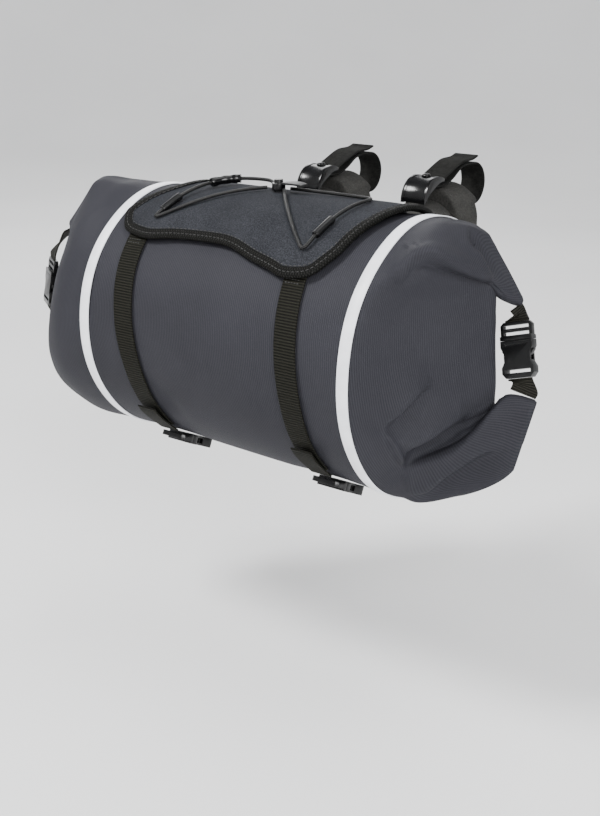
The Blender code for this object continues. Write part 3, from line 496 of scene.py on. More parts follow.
def braid():
    """Braided elastic cord."""
    finish = Finish("braided_cord", 0.45, Specular_IOR_Level=0.25)
    across, along = finish.uv()
    left = finish.wave(finish.total((along, 1.0), (across, 0.55)), 1.5 * MM)
    right = finish.wave(finish.total((along, 1.0), (across, -0.55)), 1.5 * MM)
    weave = finish.math("MAXIMUM", left, right)
    finish.color(finish.ramp(weave, (0.5, (0.0012, 0.0012, 0.0012)), (1.0, (0.016, 0.016, 0.016))))
    finish.bump(weave, 0.25 * MM, 0.8)
    return finish.made


def thread_finish():
    finish = Finish("sewing_thread", 0.6, Specular_IOR_Level=0.4)
    twist = finish.grain(2500, 2)
    finish.color(finish.ramp(twist, (0.3, (0.006, 0.006, 0.006)), (0.8, (0.045, 0.045, 0.043))))
    finish.bump(twist, 0.1 * MM, 0.6)
    return finish.made


BODY_CLOTH = coated_cloth()
FLAP_CLOTH = heather_cloth()
WEBBING = webbing()
FINE_WEBBING = webbing(1.7 * MM, (0.024, 0.023, 0.018), (0.002, 0.002, 0.002), "fine_webbing")
BINDING_TAPE = binding_tape()
LOOP_FABRIC = hook_and_loop()
REFLECTIVE = reflective_tape()
BUCKLE_PLASTIC = moulded("buckle_plastic", (0.003, 0.003, 0.0032), 0.3, 0.08)
CLIP_PLASTIC = moulded("clip_plastic", (0.002, 0.002, 0.0022), 0.2, 0.06)
TAB_RUBBER = moulded("tab_rubber", (0.010, 0.010, 0.0105), 0.48, 0.08)
FRONT_FOAM = foam_finish("front_foam", (0.014, 0.014, 0.0135), (0.050, 0.049, 0.046))
REAR_FOAM = foam_finish("rear_foam", (0.012, 0.012, 0.0115), (0.046, 0.045, 0.042))
CORD_BRAID = braid()
THREAD = thread_finish()


# Meshes


def settle(obj):
    """Keeps what the modifiers made, with its faces looking outwards."""
    graph = bpy.context.evaluated_depsgraph_get()
    mesh = bpy.data.meshes.new_from_object(obj.evaluated_get(graph))
    obj.modifiers.clear()
    obj.data = mesh
    shape = bmesh.new()
    shape.from_mesh(mesh)
    bmesh.ops.recalc_face_normals(shape, faces=shape.faces)
    shape.to_mesh(mesh)
    shape.free()


def dress(obj, finish, slot, *nodes, sharp=40):
    """Gives a piece its material and smooth faces, and lets it stand for its solids."""
    obj.data.materials.clear()
    obj.data.materials.append(finish)
    obj.data.shade_smooth()
    obj.data.set_sharp_from_angle(angle=radians(sharp))
    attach(obj, "root")
    if nodes:
        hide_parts(*nodes)
    return obj


def net(name, rows, uv_at, closed_rows=False, closed_columns=False, caps=False):
    """A net of points with a UV map in metres, given row by row from the middle of the bag."""
    count, width = len(rows), len(rows[0])
    points = [tuple(point) for row in rows for point in row]
    faces, places = [], []
    for i in range(count if closed_rows else count - 1):
        for j in range(width if closed_columns else width - 1):
            below, right = (i + 1) % count, (j + 1) % width
            faces.append((i * width + j, below * width + j, below * width + right, i * width + right))
            places += [uv_at(i, j), uv_at(i + 1, j), uv_at(i + 1, j + 1), uv_at(i, j + 1)]
    if caps:
        last = (count - 1) * width
        faces.append(tuple(range(width)))
        faces.append(tuple(range(last + width - 1, last - 1, -1)))
        places += [uv_at(0, j) for j in range(width)]
        places += [uv_at(count - 1, j) for j in reversed(range(width))]
    mesh = bpy.data.meshes.new(name)
    mesh.from_pydata(points, [], faces)
    layer = mesh.uv_layers.new(name="UVMap")
    layer.data.foreach_set("uv", [value for place in places for value in place])
    obj = bpy.data.objects.new(name, mesh)
    obj.location = BAG_CENTRE
    bpy.context.scene.collection.objects.link(obj)
    bpy.context.view_layer.update()
    return obj


def thicken(obj, thickness, offset):
    wall = obj.modifiers.new("Wall", "SOLIDIFY")
    wall.thickness = thickness
    wall.offset = offset
    wall.use_even_offset = False
    settle(obj)


# Across a strip of webbing: share of the half-width, and share of the thickness.
WEB_SECTION = ((-1.0, 0.5), (-0.99, 0.2), (-0.955, 0.03), (-0.85, 0.0), (-0.4, 0.0), (0.0, 0.0), (0.4, 0.0),
               (0.85, 0.0), (0.955, 0.03), (0.99, 0.2), (1.0, 0.5), (0.99, 0.8), (0.955, 0.97), (0.85, 1.0),
               (0.4, 1.0), (0.0, 1.0), (-0.4, 1.0), (-0.85, 1.0), (-0.955, 0.97), (-0.99, 0.8))


def web(name, centres, sides, thickness, step=1.6 * MM):
    """A strip of webbing along a smooth line: the middle of its lower face, and the half-width vector at each point."""
    keys = lengths(centres)
    count = max(8, round(keys[-1] / step))
    line = [smooth_between(keys, centres, keys[-1] * i / count) for i in range(count + 1)]
    rows = []
    for i, centre in enumerate(line):
        side = smooth_between(keys, sides, keys[-1] * i / count)
        way = line[min(i + 1, count)] - line[max(i - 1, 0)]
        normal = way.cross(side).normalized()
        rows.append([centre + side * share + normal * (thickness * deep) for share, deep in WEB_SECTION])
    half = sides[0].length

    def uv_at(i, j):
        return WEB_SECTION[j % len(WEB_SECTION)][0] * half, keys[-1] * i / count

    strip = net(name, rows, uv_at, closed_columns=True, caps=True)
    settle(strip)
    return strip


def tube(name, line, radius, sides=12, squash=1.0):
    """A round cord along a line of points."""
    keys = lengths(line)
    rows = []
    across = Vector((1, 0, 0))
    for i, place in enumerate(line):
        way = (line[min(i + 1, len(line) - 1)] - line[max(i - 1, 0)]).normalized()
        across = (across - way * across.dot(way)).normalized()
        up = way.cross(across)
        ring = [2 * pi * k / sides for k in range(sides)]
        rows.append([place + across * (radius * cos(turn)) + up * (radius * squash * sin(turn)) for turn in ring])

    def uv_at(i, j):
        return 2 * pi * radius * j / sides, keys[i]

    cord = net(name, rows, uv_at, closed_columns=True, caps=True)
    settle(cord)
    return cord


def prism(name, outline, thickness):
    """A flat outline with a thickness, its middle on the origin."""
    count = len(outline)
    low = [(x, y, -thickness / 2) for x, y in outline]
    high = [(x, y, thickness / 2) for x, y in outline]
    faces = [tuple(range(count - 1, -1, -1)), tuple(range(count, 2 * count))]
    for i in range(count):
        after = (i + 1) % count
        faces.append((i, after, after + count, i + count))
    mesh = bpy.data.meshes.new(name)
    mesh.from_pydata(low + high, [], faces)
    obj = bpy.data.objects.new(name, mesh)
    bpy.context.scene.collection.objects.link(obj)
    return obj


def box_outline(width, length, x=0.0, y=0.0):
    return [(x - width / 2, y - length / 2), (x + width / 2, y - length / 2), (x + width / 2, y + length / 2),
            (x - width / 2, y + length / 2)]


def carve(obj, *tools):
    """Takes tools away from a solid, or adds those that come as (tool, operation)."""
    made = []
    for tool in tools:
        tool, operation = tool if isinstance(tool, tuple) else (tool, "DIFFERENCE")
        boolean = obj.modifiers.new(tool.name, "BOOLEAN")
        boolean.operation = operation
        boolean.solver = "EXACT"
        boolean.object = tool
        made.append(tool)
    settle(obj)
    for tool in made:
        bpy.data.objects.remove(tool)


def round_edges(obj, width, segments=3):
    bevel = obj.modifiers.new("Edges", "BEVEL")
    bevel.width = width
    bevel.segments = segments
    bevel.limit_method = "ANGLE"
    bevel.angle_limit = radians(35)
    bevel.harden_normals = False
    settle(obj)


def arc(centre, radius, start, end, count):
    """Points on a circle, angles from the first axis towards the second."""
    points = []
    for i in range(count + 1):
        turn = radians(start + (end - start) * i / count)
        points.append((centre[0] + radius * cos(turn), centre[1] + radius * sin(turn)))
    return points


# Bag body


def row_at(table, angle):
    """The generator of an end at an angle, read smoothly between the table's rows."""
    keys = [row[0] for row in table]
    found = {}
    for column, name in enumerate(END_COLUMNS[1:], 1):
        found[name] = smooth_between(keys, [Vector(row[column]) for row in table], angle)
    return found


def end_place(share, side, reach):
    return Vector((side * (RING_X + share.x * reach), share.y * BODY_RADIUS, share.z * BODY_RADIUS))


def end_frame(table, angle, side, reach):
    """Neck, edge and the strip's own directions at an angle: outwards along the strip, and behind it."""
    step = 1.5
    low, high = max(angle - step, -90), min(angle + step, 90)
    row = row_at(table, angle)
    neck, edge = end_place(row["neck"], side, reach), end_place(row["edge"], side, reach)

    def middle(at):
        near = row_at(table, at)
        return (end_place(near["neck"], side, reach) + end_place(near["edge"], side, reach)) / 2

    along = (edge - neck).normalized()
    up = middle(high) - middle(low)
    up = (up - along * up.dot(along)).normalized()
    behind = up.cross(along) * side
    return neck, edge, along, behind, up


def strip_points(table, angle, side, reach, front):
    """One generator of the closure, from the neck round the roll to the hem."""
    half = SHEET_GAP / 2 + CLOTH
    pitch = 2 * half + ROLL_AIR
    neck, edge, along, behind, up = end_frame(table, angle, side, reach)
    width = (edge - neck).length
    start = neck + behind * half
    flat = END_STEPS[side][2]
    stations = [(start + along * (width * i / (flat - 1)), 0) for i in range(flat)]
    for share, turn_radius, deep, turn in ROLL:
        radius = turn_radius * pitch
        centre = start + along * (width * share) + behind * (deep * pitch)
        place = centre + along * (radius * sin(radians(turn))) - behind * (radius * cos(radians(turn)))
        stations.append((place, turn))
    made = []
    for place, turn in stations:
        off_strip = along * sin(radians(turn)) - behind * cos(radians(turn))
        if abs(angle) == 90:
            made.append(place + up * (half * angle / 90))
        else:
            made.append(place + off_strip * (half if front else -half))
    return made


def end_generator(table, angle, side, reach, front):
    """One line of the cloth from the ring to the hem, without its point on the ring."""
    ring_angle = angle if front else 180 - angle
    ring = on_body(side * RING_X, ring_angle, 0)
    middle = end_place(row_at(table, angle)["mid" if front else "back"], side, reach)
    strip = strip_points(table, angle, side, reach, front)
    flat = END_STEPS[side][2]
    places = [ring - Vector((side * 0.3 * reach, 0, 0)), ring, middle, strip[0], strip[flat - 1]]
    keys = lengths(places)
    curve = []
    for start, count in ((1, END_STEPS[side][0]), (2, END_STEPS[side][1])):
        for i in range(1, count + 1):
            curve.append(smooth_between(keys, places, keys[start] + i / count * (keys[start + 1] - keys[start])))
    return curve[:-1] + strip


def body_radius_lift(x):
    """The straps press the tube in a little where they cross it."""
    from_strap = abs(abs(x) - 0.62 * BAND_X) / (0.3 * BAND_X)
    return -STRAP_SQUEEZE * max(0.0, 1 - from_strap ** 2)


def body_generator(angle, front):
    ring_angle = angle if front else 180 - angle
    left = end_generator(LEFT_END, angle, -1, LEFT_REACH, front)
    right = end_generator(RIGHT_END, angle, 1, RIGHT_REACH, front)
    tube_line = []
    for i in range(TUBE_STATIONS + 1):
        x = (2 * i / TUBE_STATIONS - 1) * RING_X
        tube_line.append(on_body(x, ring_angle, body_radius_lift(x)))
    return left[::-1] + tube_line + right


def fold_depths(points, normals):
    """How far each point moves along its normal for all the folds."""
    moved = np.zeros(len(points))
    for kind, width, height, fade, line in FOLDS:
        stops = [Vector(stop) * MM for stop in line]
        keys = lengths(stops)
        chain = np.array([smooth_between(keys, stops, keys[-1] * i / 30)[:] for i in range(31)])
        nearest = np.full(len(points), 1e9)
        share = np.zeros(len(points))
        offset = np.zeros((len(points), 3))
        tangent = np.zeros((len(points), 3))
        for k, (start, end) in enumerate(zip(chain, chain[1:])):
            way = end - start
            at = np.clip((points - start) @ way / (way @ way), 0, 1)
            gap = points - start - at[:, None] * way
            far = np.linalg.norm(gap, axis=1)
            closer = far < nearest
            nearest[closer] = far[closer]
            share[closer] = (k + at[closer]) / (len(chain) - 1)
            offset[closer] = gap[closer]
            tangent[closer] = way / np.linalg.norm(way)
        taper = np.sin(np.clip(share, 0.001, 0.999) * pi) ** 0.8
        if kind == "step":
            across = np.cross(normals, tangent)
            signed = (offset * across).sum(axis=1)
            beside = np.sqrt(np.maximum(nearest ** 2 - signed ** 2, 0.0))
            reach = np.where(signed > 0, fade, 0.45 * fade) * MM
            profile = np.tanh(signed / (width * MM)) * np.exp(-np.abs(signed) / reach)
            profile *= np.exp(-(beside / (8 * MM)) ** 2)
        elif kind == "ridge":
            profile = np.exp(-np.sqrt(nearest ** 2 + (0.8 * MM) ** 2) / (width * MM))
        else:
            profile = np.exp(-(nearest / (width * MM)) ** 2)
        moved += height * MM * profile * taper
    from_middle = np.abs(points[:, 0]) / MM
    beside_band = np.clip((126 - from_middle) / 8, 0, 1) + np.clip((from_middle - 139) / 12, 0, 1)
    return moved * beside_band


def slack(points):
    """The cloth's own unevenness: a slow swell of under a millimetre."""
    x, y, z = (points / MM).T
    swell = np.sin(x / 23 + 0.7) * np.sin(z / 31 + y / 37) + 0.6 * np.sin(x / 11 - z / 17 + 1.3) * np.sin(y / 19 + 2.1)
    ends = np.clip((np.abs(x) - 120) / 40, 0, 1)
    return swell * (0.25 + 0.75 * ends) * MM


def carry_to_closure(moved, side, width):
    """The closure's two sheets and its roll move together, as the front sheet does."""
    _, neck, flat = END_STEPS[side]
    hem = width - 1 if side > 0 else 0
    edge = hem - side * len(ROLL)
    strip_start = edge - side * (flat - 1)
    for k in range(BACK_LINES - 1):
        line = FRONT_LINES + 1 + k
        partner = round(FRONT_LINES * (BACK_LINES - 1 - k) / BACK_LINES)
        for step in range(1, neck):
            column = strip_start - side * step
            share = 1 - step / neck
            moved[line, column] = moved[line, column] * (1 - share) + moved[partner, column] * share
        for step in range(flat):
            moved[line, strip_start + side * step] = moved[partner, strip_start + side * step]
    for step in range(1, len(ROLL) + 1):
        moved[:, edge + side * step] = moved[:, edge]


def build_body():
    lines = []
    for i in range(FRONT_LINES + 1):
        lines.append(body_generator(-90 + 180 * i / FRONT_LINES, True))
    for i in range(1, BACK_LINES):
        lines.append(body_generator(90 - 180 * i / BACK_LINES, False))
    across = lengths(lines[FRONT_LINES // 2])
    middle = across[len(across) // 2]
    girth = 2 * pi * BODY_RADIUS / len(lines)

    def uv_at(i, j):
        return across[j] - middle, girth * i

    body = net("bag_cloth", lines, uv_at, closed_rows=True)
    mesh = body.data
    points = np.zeros(len(mesh.vertices) * 3)
    mesh.vertices.foreach_get("co", points)
    points = points.reshape(-1, 3)
    normals = np.zeros(len(mesh.vertices) * 3)
    mesh.vertices.foreach_get("normal", normals)
    normals = normals.reshape(-1, 3)
    facing = np.sign((normals * (points * np.array([0, 1, 1]))).sum(axis=1).mean())
    normals = normals * facing
    width = len(lines[0])
    moved = (fold_depths(points, normals) + slack(points)).reshape(-1, width, 1) * normals.reshape(-1, width, 3)
    for side in (-1, 1):
        carry_to_closure(moved, side, width)
    points += moved.reshape(-1, 3)
    mesh.vertices.foreach_set("co", points.ravel())
    mesh.update()
    thicken(body, CLOTH, -facing)
    return dress(body, BODY_CLOTH, "body_cloth", "bag_body", sharp=75)


# Wraps that lie round the tube


def build_band(side_name, x):
    section = [(-1.0, 0.0), (-1.0, 0.7), (-0.94, 1.0), (0.94, 1.0), (1.0, 0.7), (1.0, 0.0), (0.0, 0.0)]
    rows = []
    for i in range(180):
        angle = i * 2
        sway = 0.5 * MM * sin(radians(3 * angle)) + 0.35 * MM * sin(radians(7 * angle + 40))
        lift = 0.25 * MM * sin(radians(5 * angle))
        row = []
        for share, deep in section:
            row.append(on_body(x + sway + share * BAND_WIDTH / 2, angle, GAP + lift + deep * BAND))
        rows.append(row)

    def uv_at(i, j):
        return section[j % len(section)][0] * BAND_WIDTH / 2, i * 2 * pi * BODY_RADIUS / 180

    band = net(f"band_{side_name}", rows, uv_at, closed_rows=True, closed_columns=True)
    settle(band)
    return dress(band, REFLECTIVE, "reflective", f"reflective_band_{side_name}")


def flap_lift():
    return GAP + WEB + GAP + BINDING + BINDING_CLEAR + 0.2 * MM


def flap_edge(rows, share):
    """A point of an outline at a share of its way: x in metres and the angle."""
    keys = [i / (len(rows) - 1) for i in range(len(rows))]
    found = smooth_between(keys, [Vector(row) for row in rows], share)
    return Vector((found.x * BAND_X, found.y))


def flap_place(s, t):
    """A point of the flap in x and angle, blended between its four edges."""
    rear_left, rear_right = Vector(FLAP_LEFT[-1]), Vector(FLAP_RIGHT[-1])
    front, left, right = flap_edge(FLAP_FRONT, s), flap_edge(FLAP_LEFT, t), flap_edge(FLAP_RIGHT, t)
    rear = Vector(((rear_left.x * (1 - s) + rear_right.x * s) * BAND_X, FLAP_REAR_ANGLE))
    corners = []
    for x, angle in (FLAP_FRONT[0], FLAP_FRONT[-1], rear_left, rear_right):
        corners.append(Vector((x * BAND_X, angle)))
    across = front * (1 - t) + rear * t + left * (1 - s) + right * s
    low = corners[0] * (1 - s) + corners[1] * s
    high = corners[2] * (1 - s) + corners[3] * s
    return across - low * (1 - t) - high * t


FLAP_ACROSS = 72
FLAP_BACK = 40


def flap_crown(s, t):
    """The padded cloth stands a little higher away from its sewn edge."""
    edge = min(s, 1 - s, t * 0.8) / 0.14
    ease = min(1.0, edge)
    return 1.1 * MM * ease * (2 - ease) - 0.3 * MM


def build_flap():
    rows = []
    for i in range(FLAP_BACK + 1):
        row = []
        for j in range(FLAP_ACROSS + 1):
            s, t = j / FLAP_ACROSS, i / FLAP_BACK
            x, angle = flap_place(s, t)
            swell = 0.25 * MM * sin(x / MM / 15 + 0.6) * sin(angle / 8)
            row.append(on_body(x, angle, flap_lift() + FLAP / 2 + flap_crown(s, t) + swell))
        rows.append(row)

    def uv_at(i, j):
        x, angle = flap_place(j / FLAP_ACROSS, i / FLAP_BACK)
        return x, radians(angle) * BODY_RADIUS

    flap = net("flap_cloth_panel", rows, uv_at)
    thicken(flap, FLAP * 0.9, 0)
    return dress(flap, FLAP_CLOTH, "flap_cloth", "flap_panel")


def flap_outline(side_count, front_count):
    """The flap's sewn edge from its rear left corner round the front to its rear right corner."""
    places = [flap_place(0, 1 - i / side_count) for i in range(side_count)]
    places += [flap_place(i / front_count, 0) for i in range(front_count + 1)]
    places += [flap_place(1, (i + 1) / side_count) for i in range(side_count)]
    return places


def even_outline(step):
    """The sewn edge with its points evenly spaced and its corners eased."""
    outline = flap_outline(40, 120)
    line = [on_body(x, angle, 0) for x, angle in outline]
    keys = lengths(line)
    count = round(keys[-1] / step)
    places = []
    for i in range(count + 1):
        found = smooth_between(keys, outline, keys[-1] * i / count)
        places.append(found)
    for _ in range(6):
        eased = [places[0]]
        for before, here, after in zip(places, places[1:], places[2:]):
            eased.append(before * 0.25 + here * 0.5 + after * 0.25)
        eased.append(places[-1])
        places = eased
    return places


def edge_frames(places):
    """At each point of the sewn edge: its place, and how x and angle change per metre outwards."""
    frames = []
    for i, (x, angle) in enumerate(places):
        before, after = places[max(i - 1, 0)], places[min(i + 1, len(places) - 1)]
        tangent = (on_body(*after, 0) - on_body(*before, 0)).normalized()
        out = tangent.cross(outward(angle)).normalized()
        frames.append((x, angle, out.x, degrees_for(out.dot(around(angle)))))
    return frames


def build_binding():
    """A tape folded over the flap's edge, in a rounded U section."""
    inner, outer = -BINDING_WIDTH, GAP + BINDING
    low, high = -BINDING_CLEAR, FLAP + BINDING_CLEAR
    middle, big = (low + high) / 2, (high - low) / 2 + BINDING
    small = big - BINDING
    centre = outer - big
    section = [(inner, high + 0.5 * BINDING), (inner + 0.8 * MM, high + BINDING), (inner / 2, high + BINDING)]
    section += [(centre + a, middle + b) for a, b in arc((0, 0), big, 90, -90, 8)]
    section += [(inner, low - BINDING), (inner, low)]
    section += [(centre + a, middle + b) for a, b in arc((0, 0), small, -90, 90, 6)]
    section += [(inner, high)]
    places = even_outline(1.6 * MM)
    rows = []
    for x, angle, out_x, out_angle in edge_frames(places):
        row = []
        for across, up in section:
            row.append(on_body(x + out_x * across, angle + out_angle * across, flap_lift() + up))
        rows.append(row)
    around_section = [0.0]
    for before, after in zip(section, section[1:]):
        around_section.append(around_section[-1] + sqrt((after[0] - before[0]) ** 2 + (after[1] - before[1]) ** 2))

    def uv_at(i, j):
        return around_section[j % len(section)], 1.6 * MM * i

    tape = net("flap_binding_tape", rows, uv_at, closed_columns=True, caps=True)
    settle(tape)
    return dress(tape, BINDING_TAPE, "webbing", "flap_binding", sharp=60)


def stitch_row(name, line, normals, stitch, gap, radius=0.35 * MM):
    """A row of sewn stitches along a line, each a short bar half sunk in the cloth."""
    keys = lengths(line)
    points, faces = [], []
    count = int(keys[-1] / (stitch + gap))
    for i in range(count):
        start, end = i * (stitch + gap), i * (stitch + gap) + stitch
        ends = [smooth_between(keys, line, start), smooth_between(keys, line, end)]
        normal = smooth_between(keys, normals, (start + end) / 2).normalized()
        way = (ends[1] - ends[0]).normalized()
        across = way.cross(normal).normalized()
        first = len(points)
        for share, fat in ((0.0, 0.35), (0.18, 1.0), (0.5, 1.15), (0.82, 1.0), (1.0, 0.35)):
            place = ends[0].lerp(ends[1], share)
            for k in range(6):
                turn = 2 * pi * k / 6
                offset = across * cos(turn) + normal * sin(turn)
                points.append(place + offset * (radius * fat))
        for ring in range(4):
            for k in range(6):
                here, after = first + ring * 6 + k, first + ring * 6 + (k + 1) % 6
                faces.append((here, here + 6, after + 6, after))
        faces.append(tuple(first + k for k in range(6)))
        faces.append(tuple(first + 24 + k for k in reversed(range(6))))
    mesh = bpy.data.meshes.new(name)
    mesh.from_pydata([tuple(point) for point in points], [], faces)
    obj = bpy.data.objects.new(name, mesh)
    obj.location = BAG_CENTRE
    bpy.context.scene.collection.objects.link(obj)
    settle(obj)
    return dress(obj, THREAD, "webbing")


def build_flap_stitches():
    frames = edge_frames(even_outline(3 * MM))
    for name, inset in (("outer", 2.6 * MM), ("inner", 7.4 * MM)):
        line, normals = [], []
        for x, angle, out_x, out_angle in frames:
            lift = flap_lift() + FLAP + BINDING_CLEAR + BINDING
            line.append(on_body(x - out_x * inset, angle - out_angle * inset, lift))
            normals.append(outward(angle))
        stitch_row(f"binding_stitches_{name}", line, normals, 2.6 * MM, 1.5 * MM, 0.3 * MM)


def build_back_panel():
    rows, columns = 72, 36
    points = []
    for i in range(rows + 1):
        angle = PANEL_TOP_ANGLE + (PANEL_LOW_ANGLE - PANEL_TOP_ANGLE) * i / rows
        row = []
        for j in range(columns + 1):
            share = 2 * j / columns - 1
            edge = min(1 - abs(share), i / rows, 1 - i / rows)
            rim = 0.5 * MM if edge < 0.045 else 0.0
            row.append(on_body(share * PANEL_HALF_WIDTH, angle, GAP + PANEL * 0.7 + rim))
        points.append(row)

    def uv_at(i, j):
        return (2 * j / columns - 1) * PANEL_HALF_WIDTH, i * radians(1.8) * BODY_RADIUS

    panel = net("back_panel_cloth", points, uv_at)
    thicken(panel, PANEL * 0.7, 0)
    return dress(panel, FLAP_CLOTH, "flap_cloth", "back_panel")


def build_front_strap(side_name, table):
    keys = [-row[0] for row in table]
    xs = [row[1] for row in table]
    top, low = table[0][0], table[-1][0]
    count = 36
    centres = []
    for i in range(count + 1):
        angle = low + (top - low) * i / count
        centres.append(on_body(smooth_between(keys, xs, -angle) * BAND_X, angle, GAP))
    half = Vector((WEB_WIDTH / 2, 0, 0))
    strap = web(f"strap_webbing_{side_name}", centres, [-half] * len(centres), WEB)
    return dress(strap, WEBBING, "webbing", f"strap_{side_name}")


def buckle_length():
    return SOCKET_LENGTH + PLUG_BASE


def build_lower_strap(side_name, x):
    """The strap's other half, from the buckle under the bag to the back panel's lower edge."""
    start = PANEL_LOW_ANGLE - 360 + degrees_for(GAP)
    end = BUCKLE_ANGLE - degrees_for(buckle_length() / 2 + GAP)
    centres = [on_body(x, start + (end - start) * i / 14, GAP) for i in range(15)]
    half = Vector((WEB_WIDTH / 2, 0, 0))
    strap = web(f"lower_webbing_{side_name}", centres, [-half] * len(centres), WEB)
    return dress(strap, WEBBING, "webbing", f"lower_strap_{side_name}")


def build_strap_tail(side_name, x):
    """The strap's free end, folded back over the strap above the buckle."""
    top = BUCKLE_ANGLE + degrees_for(buckle_length() / 2) + 21
    low = BUCKLE_ANGLE + degrees_for(buckle_length() / 2) + 2
    centres = []
    for share, lift in ((0, 0), (0.3, 0.4), (0.6, 1.6), (0.85, 2.7), (1, 3.0)):
        centres.append(on_body(x, low + share * (top - low), 2 * GAP + WEB + lift * MM))
    half = Vector((WEB_WIDTH / 2, 0, 0))
    tail = web(f"tail_webbing_{side_name}", centres, [-half] * len(centres), WEB)
    return dress(tail, WEBBING, "webbing", f"strap_tail_{side_name}")


# Buckles


def build_buckle(name, centre, length_way, normal):
    """A side-release buckle: a hollow socket, and a plug with a web slot and two sprung arms."""
    width_way = length_way.cross(normal)
    turn = Matrix((width_way, length_way, normal)).transposed().to_4x4()
    place = Matrix.Translation(BAG_CENTRE + centre) @ turn
    half = BUCKLE_WIDTH / 2
    top, low = SOCKET_LENGTH - buckle_length() / 2, -buckle_length() / 2
    waist = half - 2.2 * MM
    side = [(-half + 3 * MM, low), (half - 3 * MM, low), (half, low + 3.5 * MM), (half, low + 8 * MM),
            (waist, low + 12 * MM), (waist, top - 9 * MM), (half, top - 5 * MM), (half, top)]
    outline = side + [(-x, y) for x, y in reversed(side[2:])]
    socket = prism(f"{name}_shell", outline, BUCKLE_THICK)
    mouth_width = BUCKLE_WIDTH - 4 * BUCKLE_WALL
    mouth = prism(f"{name}_mouth", box_outline(mouth_width, SOCKET_LENGTH - 12 * MM, 0, top - SOCKET_LENGTH / 2 + 7 * MM),
                  BUCKLE_THICK - 2 * BUCKLE_WALL)
    window = prism(f"{name}_window", box_outline(BUCKLE_WIDTH + 2 * MM, 8.5 * MM, 0, top - 11 * MM), BUCKLE_THICK * 0.56)
    slot = prism(f"{name}_slot", box_outline(WEB_WIDTH + 0.6 * MM, 2.6 * MM, 0, low + 5.2 * MM), BUCKLE_THICK + 2 * MM)
    groove = prism(f"{name}_groove", box_outline(WEB_WIDTH - 3 * MM, 0.9 * MM, 0, top - 3.2 * MM), 1.0 * MM)
    groove.location.z = BUCKLE_THICK / 2
    bpy.context.view_layer.update()
    carve(socket, mouth, window, slot, groove)
    round_edges(socket, 0.8 * MM)

    arm_out = mouth_width / 2 - 0.5 * MM
    base_low, base_top = top + GAP, top + PLUG_BASE
    plug_side = [(half - 2.5 * MM, base_top), (half, base_top - 2.5 * MM), (half, base_low), (arm_out, base_low), (arm_out, top - 6.5 * MM), (half + 0.3 * MM, top - 7.4 * MM),
                 (arm_out + 0.4 * MM, top - 12 * MM), (arm_out - 1.4 * MM, top - 15 * MM),
                 (arm_out - 3 * MM, top - 14.6 * MM), (arm_out - 3 * MM, base_low), (1.6 * MM, base_low),
                 (1.6 * MM, top - 13 * MM)]
    full = plug_side + [(-x, y) for x, y in reversed(plug_side)]
    plug = prism(f"{name}_arms", full, BUCKLE_THICK - 2 * BUCKLE_WALL - 0.8 * MM)
    collar = prism(f"{name}_collar", box_outline(BUCKLE_WIDTH, 3.2 * MM, 0, base_low + 1.6 * MM), BUCKLE_THICK)
    bars = [prism(f"{name}_gap_{k}", box_outline(WEB_WIDTH + 0.4 * MM, 2.4 * MM, 0, base_low + y), BUCKLE_THICK * 2)
            for k, y in enumerate((5.0 * MM, 10.0 * MM))]
    bpy.context.view_layer.update()
    carve(plug, (collar, "UNION"), *bars)
    round_edges(plug, 0.6 * MM)
    for obj, node in ((socket, f"{name}_socket"), (plug, f"{name}_plug")):
        obj.matrix_world = place
        dress(obj, BUCKLE_PLASTIC, "buckle_plastic", node)


def build_bottom_buckle(side_name, x):
    reach = degrees_for(buckle_length() / 2)
    upper, lower = on_body(x, BUCKLE_ANGLE + reach, GAP), on_body(x, BUCKLE_ANGLE - reach, GAP)
    length_way = (upper - lower).normalized()
    normal = Vector((1, 0, 0)).cross(length_way)
    rise = (on_body(x, BUCKLE_ANGLE, GAP) - (upper + lower) / 2).length
    centre = (upper + lower) / 2 + normal * (rise + BUCKLE_THICK / 2)
    build_buckle(f"buckle_{side_name}", centre, length_way, normal)


# Closures at the two ends


def ear_tip(table, angle, side, reach):
    """Where webbing leaves the roll at an ear: just past the roll's outer edge, with the ways along and across."""
    neck, edge, along, behind, up = end_frame(table, angle, side, reach)
    half = SHEET_GAP / 2 + CLOTH
    pitch = 2 * half + ROLL_AIR
    return edge + behind * (half + pitch) + along * (pitch + half + EAR_CLEAR), along, up


def build_closure(side_name, table, side, reach):
    """Webbing from both ears of the roll, and the buckle that joins them into a loop."""
    top, top_along, top_up = ear_tip(table, EAR_ANGLE, side, reach)
    low, low_along, low_up = ear_tip(table, -EAR_ANGLE, side, reach)
    way = ((top + top_along * EAR_STRAIGHT) - (low + low_along * EAR_STRAIGHT)).normalized()
    width_way = Vector((side, CLOSURE_TURN[side_name], 0))
    width_way = (width_way - way * width_way.dot(way)).normalized()
    facing = width_way.cross(way).normalized()
    centre = (top + low) / 2 + Vector((side * CLOSURE_OUT[side_name], 0, 0))
    build_buckle(f"closure_buckle_{side_name}", centre, way, facing)
    half_length = way * (buckle_length() / 2 + GAP)
    ends = (("upper", centre + half_length, top, top_along, top_up),
            ("lower", centre - half_length, low, low_along, low_up))
    for end_name, start, end, along, up in ends:
        wide = up if up.dot(width_way) > 0 else -up
        leaving = start + (start - centre).normalized() * CLOSURE_LEAVE[side_name]
        centres = [start, leaving, end + along * EAR_STRAIGHT, end]
        half = WEB_WIDTH / 2
        sides = [width_way * half, width_way * half, wide * half, wide * half]
        piece = web(f"closure_webbing_{end_name}_{side_name}", centres, sides, WEB, 1.0 * MM)
        dress(piece, FINE_WEBBING, "webbing", f"closure_web_{end_name}_{side_name}")


# Mounts on the handlebar


